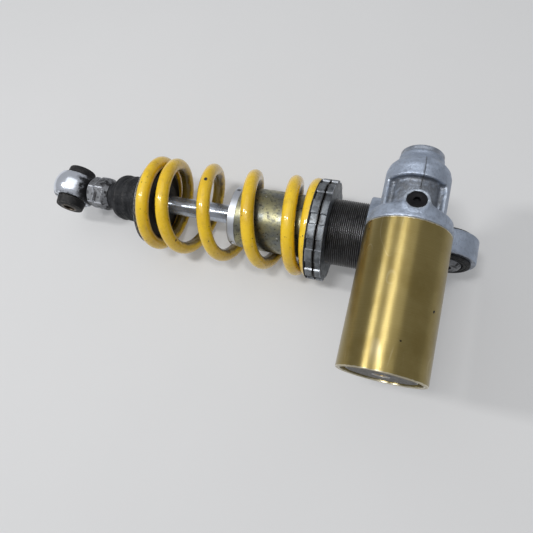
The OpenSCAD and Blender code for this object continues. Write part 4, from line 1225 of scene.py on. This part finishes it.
class SHOCK_OT_hexagons(bpy.types.Operator):
    """Makes the length adjuster and its jam nut"""

    bl_idname = "shock.hexagons"
    bl_label = "Length adjuster and jam nut"

    def execute(self, context):
        """Turns a chamfered outline and holds its radius to a hexagon's sides."""

        def hexed(flats, x_from, x_to):
            def shape(along, radius, angle, edge):
                side = hexagon_radius(angle, flats)
                inside = (along > x_from) & (along < x_to) & (radius > 9)
                held = np.where(inside, -np.logaddexp(-radius * 6, -side * 6) / 6, radius)
                corner = np.exp(-(((side - flats / 2 / np.cos(np.pi / 6)) / 0.5) ** 2))
                cone = np.exp(-(((radius - side) / 0.35) ** 2))
                return along, held, np.clip(np.where(inside, np.maximum(corner, cone), 0.35 * edge), 0, 1)

            return shape

        x0, x1 = span("jam_nut", 0)
        flats = 25.0
        profile = [
            (x0, 7.05, 0.4), (x0, flats / 2 - 0.2, 0.3), (x0 + 1.6, flats / 2 + 2.0, 0.3),
            (x1 - 1.6, flats / 2 + 2.0, 0.3), (x1, flats / 2 - 0.2, 0.3), (x1, 7.05, 0.4),
        ]
        nut = lathe("jam_nut_worn", profile, segments=288, step=0.3, shape=hexed(flats, x0 - 1, x1 + 1))
        dress(nut, "jam_nut")
        x0, x1 = span("length_adjuster", 0)
        shoulder = x1 - 4.8
        profile = [
            (x0, 7.05, 0.4), (x0, 12.8, 0.3), (x0 + 1.5, 15.2, 0.3), (shoulder - 0.02, 15.2, 0.1),
            (shoulder, 14.5, 0.1), (shoulder + 0.9, 14.5, 0.6), (x1 - 0.4, 12.2, 0.5),
            (x1, 12.0, 0.2), (x1, 7.05, 0.4),
        ]
        body = lathe("adjuster", profile, segments=288, step=0.3, shape=hexed(26.0, x0 - 1, shoulder + 0.01))
        dress(body, "length_adjuster")
        return {"FINISHED"}


class SHOCK_OT_damper(bpy.types.Operator):
    """Makes the tube, the seal head, the shaft, the spring seat and the bump stop"""

    bl_idname = "shock.damper"
    bl_label = "Damper"

    def execute(self, context):
        """Turns each piece from its outline. The seal head's pin holes are pressed in: inside each circle the
        radius drops by the hole's depth."""
        x0, x1, sleeve = TUBE_X, TUBE_END_X, span("threaded_sleeve", 0)[0] - 0.1
        profile = [
            (x0, 23.0, 0.3), (x0, 25.8, 0.6), (sleeve, 25.8, 0.4), (sleeve, 24.35, 0.1),
            (x1, 24.35, 0.2), (x1, 23.0, 0.2),
        ]
        dress(lathe("plated_tube", profile, segments=192, step=1.0), "damper_tube")

        hole_x, hole_r = CAP_X + 3.25, 1.6

        def pinned(along, radius, angle, edge):
            part = 2 * np.pi / PIN_HOLES
            off = (angle - PIN_HOLE_START + part / 2) % part - part / 2
            hole = (np.hypot(off * 25.2, along - hole_x) < hole_r) & (radius > 24.5)
            return along, np.where(hole, radius - 2.6, radius), edge

        profile = [
            (CAP_X, 10.2, 0.5), (CAP_X, 25.2, 0.9), (TUBE_X, 25.2, 0.25), (TUBE_X, 22.95, 0.1),
            (CAP_IN_X, 22.95, 0.3), (CAP_IN_X, 12.0, 0.3), (CAP_X + 7, 12.0, 0.1), (CAP_X + 7, 10.2, 0.1),
        ]
        cap = lathe("polished_cap", profile, segments=480, step=0.4, shape=pinned)
        x, r = along_and_radius(cap)
        # Painted shade in the pin holes and on the part of the seal head inside the tube.
        deep = (r < 24.0) & (r > 22.0) & (np.abs(x - hole_x) < hole_r + 0.1)
        set_crease(cap, np.maximum(deep * 1.0, (x > TUBE_X - 0.5) * 0.5))
        dress(cap, "seal_head")
        x0, x1 = span("shaft", 0)
        stud = span("adjuster_stud", 0)[0]
        piston = span("piston", 0)[0] - 2.1
        profile = [
            (x0, 0), (x0, 5, 0.4), (stud + 28, 5, 0.2), (stud + 28, 8, 0.4), (piston, 8, 0.4),
            (piston, 5, 0.2), (x1, 5, 0.5), (x1, 0),
        ]
        dress(lathe("chromed_shaft", profile, closed=False, segments=96, step=2.0), "shaft")
        x0 = SEAT_X0
        profile = [
            (x0, 14.0, 0.3), (x0, 37.0, 0.5), (x0 + 2, 37.0, 0.4), (x0 + 2, 29.6, 0.5),
            (HUB_X, 29.6, 1.2), (HUB_X, 20.6, 0.6), (x0 + 5, 20.6, 0.5), (x0 + 5, 14.0, 0.3),
        ]
        dress(lathe("seat", profile, segments=192, step=0.8, wear=0.5), "spring_seat")
        x0, x1 = span("bump_stop", 0)
        profile = [
            (x0, 8.6, 0.4), (x0, 19.6, 0.8), (x1 - 3.0, 19.6, 1.2), (x1, 16.4, 1.6),
            (x1, 11.0, 1.0), (x1 - 1.0, 8.6, 0.6),
        ]
        dress(lathe("bump_stop_foam", profile, segments=96, step=0.8), "bump_stop")
        return {"FINISHED"}


class SHOCK_OT_reservoir(bpy.types.Operator):
    """Makes the reservoir tube, its end cap and its gas valve"""

    bl_idname = "shock.reservoir"
    bl_label = "Reservoir"

    def execute(self, context):
        """Turns each piece about the reservoir's axis. The valve's hexagon socket is pressed in."""
        origin = (RES_X, 0, RES_Z)
        y0, y1 = RES_LOW, RES_TOP
        profile = [(y0, 25.0, 0.35), (y0, 27.8, 0.7), (y1, 27.8, 0.4), (y1, 25.0, 0.3)]
        dress(lathe("gold_tube", profile, Y_AXIS, origin, segments=256, step=1.2), "reservoir_tube")
        y0, y1 = span("reservoir_end_cap", 1)
        profile = [
            (y0, 5.05, 0.3), (y0, 21.5, 0.5), (y0 + 3, 21.8, 0.2), (y0 + 3, 24.95, 0.2),
            (y1, 24.95, 0.4), (y1, 2.65, 0.3), (y0 + 6, 2.65, 0.2), (y0 + 6, 5.05, 0.2),
        ]
        end_cap = lathe("end_cap", profile, Y_AXIS, origin, segments=192, step=0.8, wear=0.5)
        dress(end_cap, "reservoir_end_cap")
        y0, y1 = span("gas_valve", 1)

        def socketed(along, radius, angle, edge):
            pressed = (along < y0 + 0.3) & (radius < hexagon_radius(angle, 5.0))
            return np.where(pressed, along + 2.7, along), radius, edge

        profile = [
            (y0, 0), (y0, 5.0, 0.4), (y0 + 5.6, 5.0, 0.2), (y0 + 5.6, 2.6, 0.1), (y1, 2.6, 0.2), (y1, 0)
        ]
        valve = lathe("valve", profile, Y_AXIS, origin, closed=False, segments=96, step=0.2, shape=socketed)
        dress(valve, "gas_valve")
        return {"FINISHED"}


class SHOCK_OT_plug(bpy.types.Operator):
    """Makes the bleed plug and the knob in the neck"""

    bl_idname = "shock.plug"
    bl_label = "Bleed plug and knob"

    def execute(self, context):
        """Turns both, presses the plug's hexagon socket and the knob's slot, and knurls the knob: its radius
        rises and falls with the cosine of 40 times the angle."""
        axis = ((0, np.sin(PLUG_TILT), np.cos(PLUG_TILT)), (1, 0, 0))
        origin = (RES_X + PLUG_X, PLUG_Y, RES_Z)

        def socketed(along, radius, angle, edge):
            dish = np.where(along > 25.5, 0.35 * np.exp(-((radius / 3.6) ** 4)), 0)
            pressed = (along > 25.6) & (radius < hexagon_radius(angle, 4.0))
            return np.where(pressed, along - 2.4, along - dish), radius, edge

        profile = [(14, 0), (14, 4.0, 0.3), (24.0, 4.0, 0.1), (24.0, 6.2, 0.2), (25.9, 6.2, 0.55), (25.9, 0)]
        finer = {"closed": False, "segments": 120, "step": 0.2, "wear": 0.4}
        plug = lathe("plug", profile, axis, origin, shape=socketed, **finer)
        dress(plug, "bleed_plug")
        y0, y1 = span("compression_knob", 1)

        def knurled(along, radius, angle, edge):
            grip = np.clip((along - y1 + 5.6) / 0.6, 0, 1) * np.clip((y1 - 0.5 - along) / 0.6, 0, 1)
            grip = (radius > 8.5) * grip
            radius = radius - 0.3 * grip * (0.5 + 0.5 * np.cos(40 * angle))
            slot = (along > y1 - 0.4) & (np.abs(radius * np.cos(angle)) < 0.8) & (radius < 6)
            return np.where(slot, along - 1.4, along), radius, edge

        profile = [
            (y0, 0), (y0, 4.95, 0.3), (y1 - 6.4, 4.95, 0.1), (y1 - 6.4, 9.0, 0.3), (y1, 9.0, 0.6), (y1, 0)
        ]
        knob = lathe("knob", profile, Y_AXIS, (RES_X, 0, RES_Z), False, 320, 0.3, knurled, 0.4)
        dress(knob, "compression_knob")
        return {"FINISHED"}


class SHOCK_OT_head_eye(bpy.types.Operator):
    """Makes the head eye's sleeve and seals"""

    bl_idname = "shock.head_eye"
    bl_label = "Head eye fittings"

    def execute(self, context):
        """Turns the stepped sleeve and the two lipped seals about the eye's axis."""
        y1 = span("head_sleeve", 1)[1]
        half = [(y1, 6.0, 0.5), (y1, 11.0, 0.6), (11.6, 13.0, 0.8), (10.1, 13.0, 0.3), (10.1, 8.5, 0.2)]
        profile = [(-a, r, c) for a, r, c in half] + [(a, r, c) for a, r, c in half[::-1]]
        dress(lathe("sleeve_head", profile, Y_AXIS, segments=128, step=0.6, wear=0.5), "head_sleeve")
        y0, y1 = span("head_seal_rear", 1)
        for name, node, side in (("seal_front", "head_seal_front", -1), ("seal_rear", "head_seal_rear", 1)):
            profile = [
                (y0, 15.4, 0.3), (y0, 19.3, 0.2), (y1 - 0.6, 19.3, 0.6), (y1, 18.6, 0.4),
                (y1, 17.2, 0.4), (y1 - 0.7, 16.4, 0.4), (y1 - 0.1, 15.4, 0.4), (y1, 13.9, 0.3),
                (y1 - 0.8, 13.9, 0.2),
            ]
            obj = lathe(name, profile, ((0, side, 0), (0, 0, 1)), segments=128, step=0.4, wear=0.4)
            dress(obj, node)
        return {"FINISHED"}


class SHOCK_OT_inner_parts(bpy.types.Operator):
    """Gives every solid that shows as it is its finish"""

    bl_idname = "shock.inner_parts"
    bl_label = "Other solids"

    def execute(self, context):
        """Assigns each remaining node's material."""
        for node, obj in frame["nodes"].items():
            if obj.hide_render:
                continue
            obj.data.materials.clear()
            obj.data.materials.append(finish(SLOT[node]))
        return {"FINISHED"}


def stand(obj, place, right, up, back):
    """Puts an object at a place with its own X, Y and Z along three directions, and into the scene."""
    turn = Matrix(np.stack([right, up, back], -1).tolist()).to_4x4()
    turn.translation = place
    obj.matrix_world = turn
    bpy.context.scene.collection.objects.link(obj)


class SHOCK_OT_stage(bpy.types.Operator):
    """Makes the floor, the lamps and the camera"""

    bl_idname = "shock.stage"
    bl_label = "Floor, lamps and camera"

    def execute(self, context):
        """A flat floor under the lowest point, soft lamps that face the object, and the fitted camera."""
        scene = context.scene
        low = CAD_BOX[0][2] - 0.0003
        mesh = bpy.data.meshes.new("floor")
        corners = [(-3, -3, low), (3, -3, low), (3, 3, low), (-3, 3, low)]
        mesh.from_pydata(corners, [], [(0, 1, 2, 3)])
        floor = bpy.data.objects.new("floor", mesh)
        scene.collection.objects.link(floor)
        t = Finish("floor_paper", Roughness=0.9, Specular_IOR_Level=0.2)
        base = tuple(scene.shock_colours.floor)
        t.put(t.shader.inputs["Base Color"], t.mottled(6.0, 0.3, 0.7, base, shade(base, 0.985)))
        paper = t.add("Emission", {"Color": (0.68, 0.68, 0.68), "Strength": 1.0})
        both = t.add("MixShader", {0: t.times(t.seen(), 0.25), 1: t.shader.outputs[0], 2: paper.outputs[0]})
        t.put(t.end, both.outputs[0])
        mesh.materials.append(t.material)
        aim = np.array([-0.09, -0.03, 0.05])
        lamps = (
            ("window_left", (-0.99, -0.2, 1.1), 0.24, 0.14, 6.6),
            ("window_above", (-0.29, -0.22, 1.42), 0.26, 0.14, 7.0),
            ("ceiling", (-0.25, 0.1, 2.0), 2.2, 2.2, 11.6),
        )
        for name, place, wide, tall, power in lamps:
            lamp = bpy.data.lights.new(name, "AREA")
            lamp.shape = "RECTANGLE"
            lamp.size, lamp.size_y, lamp.energy = wide, tall, power
            back = np.array(place) - aim
            back /= np.linalg.norm(back)
            right = np.cross((0, 1, 0), back)
            right /= np.linalg.norm(right)
            stand(bpy.data.objects.new(name, lamp), place, right, np.cross(back, right), back)
        world = bpy.data.worlds.new("studio")
        world.use_nodes = True
        t = Tree(world.node_tree)
        fill = world.node_tree.nodes["Background"]
        t.put(fill.inputs["Color"], (0.25, 0.26, 0.28))
        shown = t.add("Background", {"Color": (0.4, 0.4, 0.41)})
        either = t.add("MixShader", {0: t.seen(), 1: fill.outputs[0], 2: shown.outputs[0]})
        t.put(world.node_tree.nodes["World Output"].inputs["Surface"], either.outputs[0])
        scene.world = world
        scene.view_settings.view_transform = "Standard"
        camera = bpy.data.cameras.new("camera")
        camera.lens, camera.sensor_width = 32.94, 36.0
        camera.clip_start = 0.01
        scene.camera = bpy.data.objects.new("camera", camera)
        right = (0.9483, 0.25121, -0.19398)
        up = (-0.18189, 0.931, 0.31649)
        back = (0.2601, -0.26484, 0.92855)
        stand(scene.camera, (-0.03037, -0.14441, 0.36814), right, up, back)
        return {"FINISHED"}


PIECES = (
    SHOCK_OT_spring,
    SHOCK_OT_thread,
    SHOCK_OT_rings,
    SHOCK_OT_boot,
    SHOCK_OT_head,
    SHOCK_OT_head_eye,
    SHOCK_OT_lower_eye,
    SHOCK_OT_hexagons,
    SHOCK_OT_damper,
    SHOCK_OT_reservoir,
    SHOCK_OT_plug,
    SHOCK_OT_inner_parts,
    SHOCK_OT_stage,
)


class SHOCK_PT_panel(bpy.types.Panel):
    """Lists the pieces, sizes and colours"""

    bl_idname = "SHOCK_PT_panel"
    bl_label = "Rear shock absorber"
    bl_space_type = "VIEW_3D"
    bl_region_type = "UI"
    bl_category = "Shock"

    def draw(self, context):
        """Shows the sizes and colours, then one button for each operator."""
        for group in (context.scene.shock_sizes, context.scene.shock_colours):
            for key in group.__annotations__:
                self.layout.prop(group, key)
        for piece in PIECES:
            self.layout.operator(piece.bl_idname)


CLASSES = (ShockSizes, ShockColours, *PIECES, SHOCK_PT_panel)


def register():
    """Registers the classes and hangs the two groups of values on the scene."""
    for cls in CLASSES:
        bpy.utils.register_class(cls)
    bpy.types.Scene.shock_sizes = PointerProperty(type=ShockSizes)
    bpy.types.Scene.shock_colours = PointerProperty(type=ShockColours)


def unregister():
    """Takes back what register did."""
    del bpy.types.Scene.shock_colours
    del bpy.types.Scene.shock_sizes
    for cls in reversed(CLASSES):
        bpy.utils.unregister_class(cls)


def main():
    """Makes every piece in order."""
    register()
    for piece in PIECES:
        name = piece.bl_idname.split(".")[1]
        getattr(bpy.ops.shock, name)()
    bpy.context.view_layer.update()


if __name__ == "__main__":
    main()
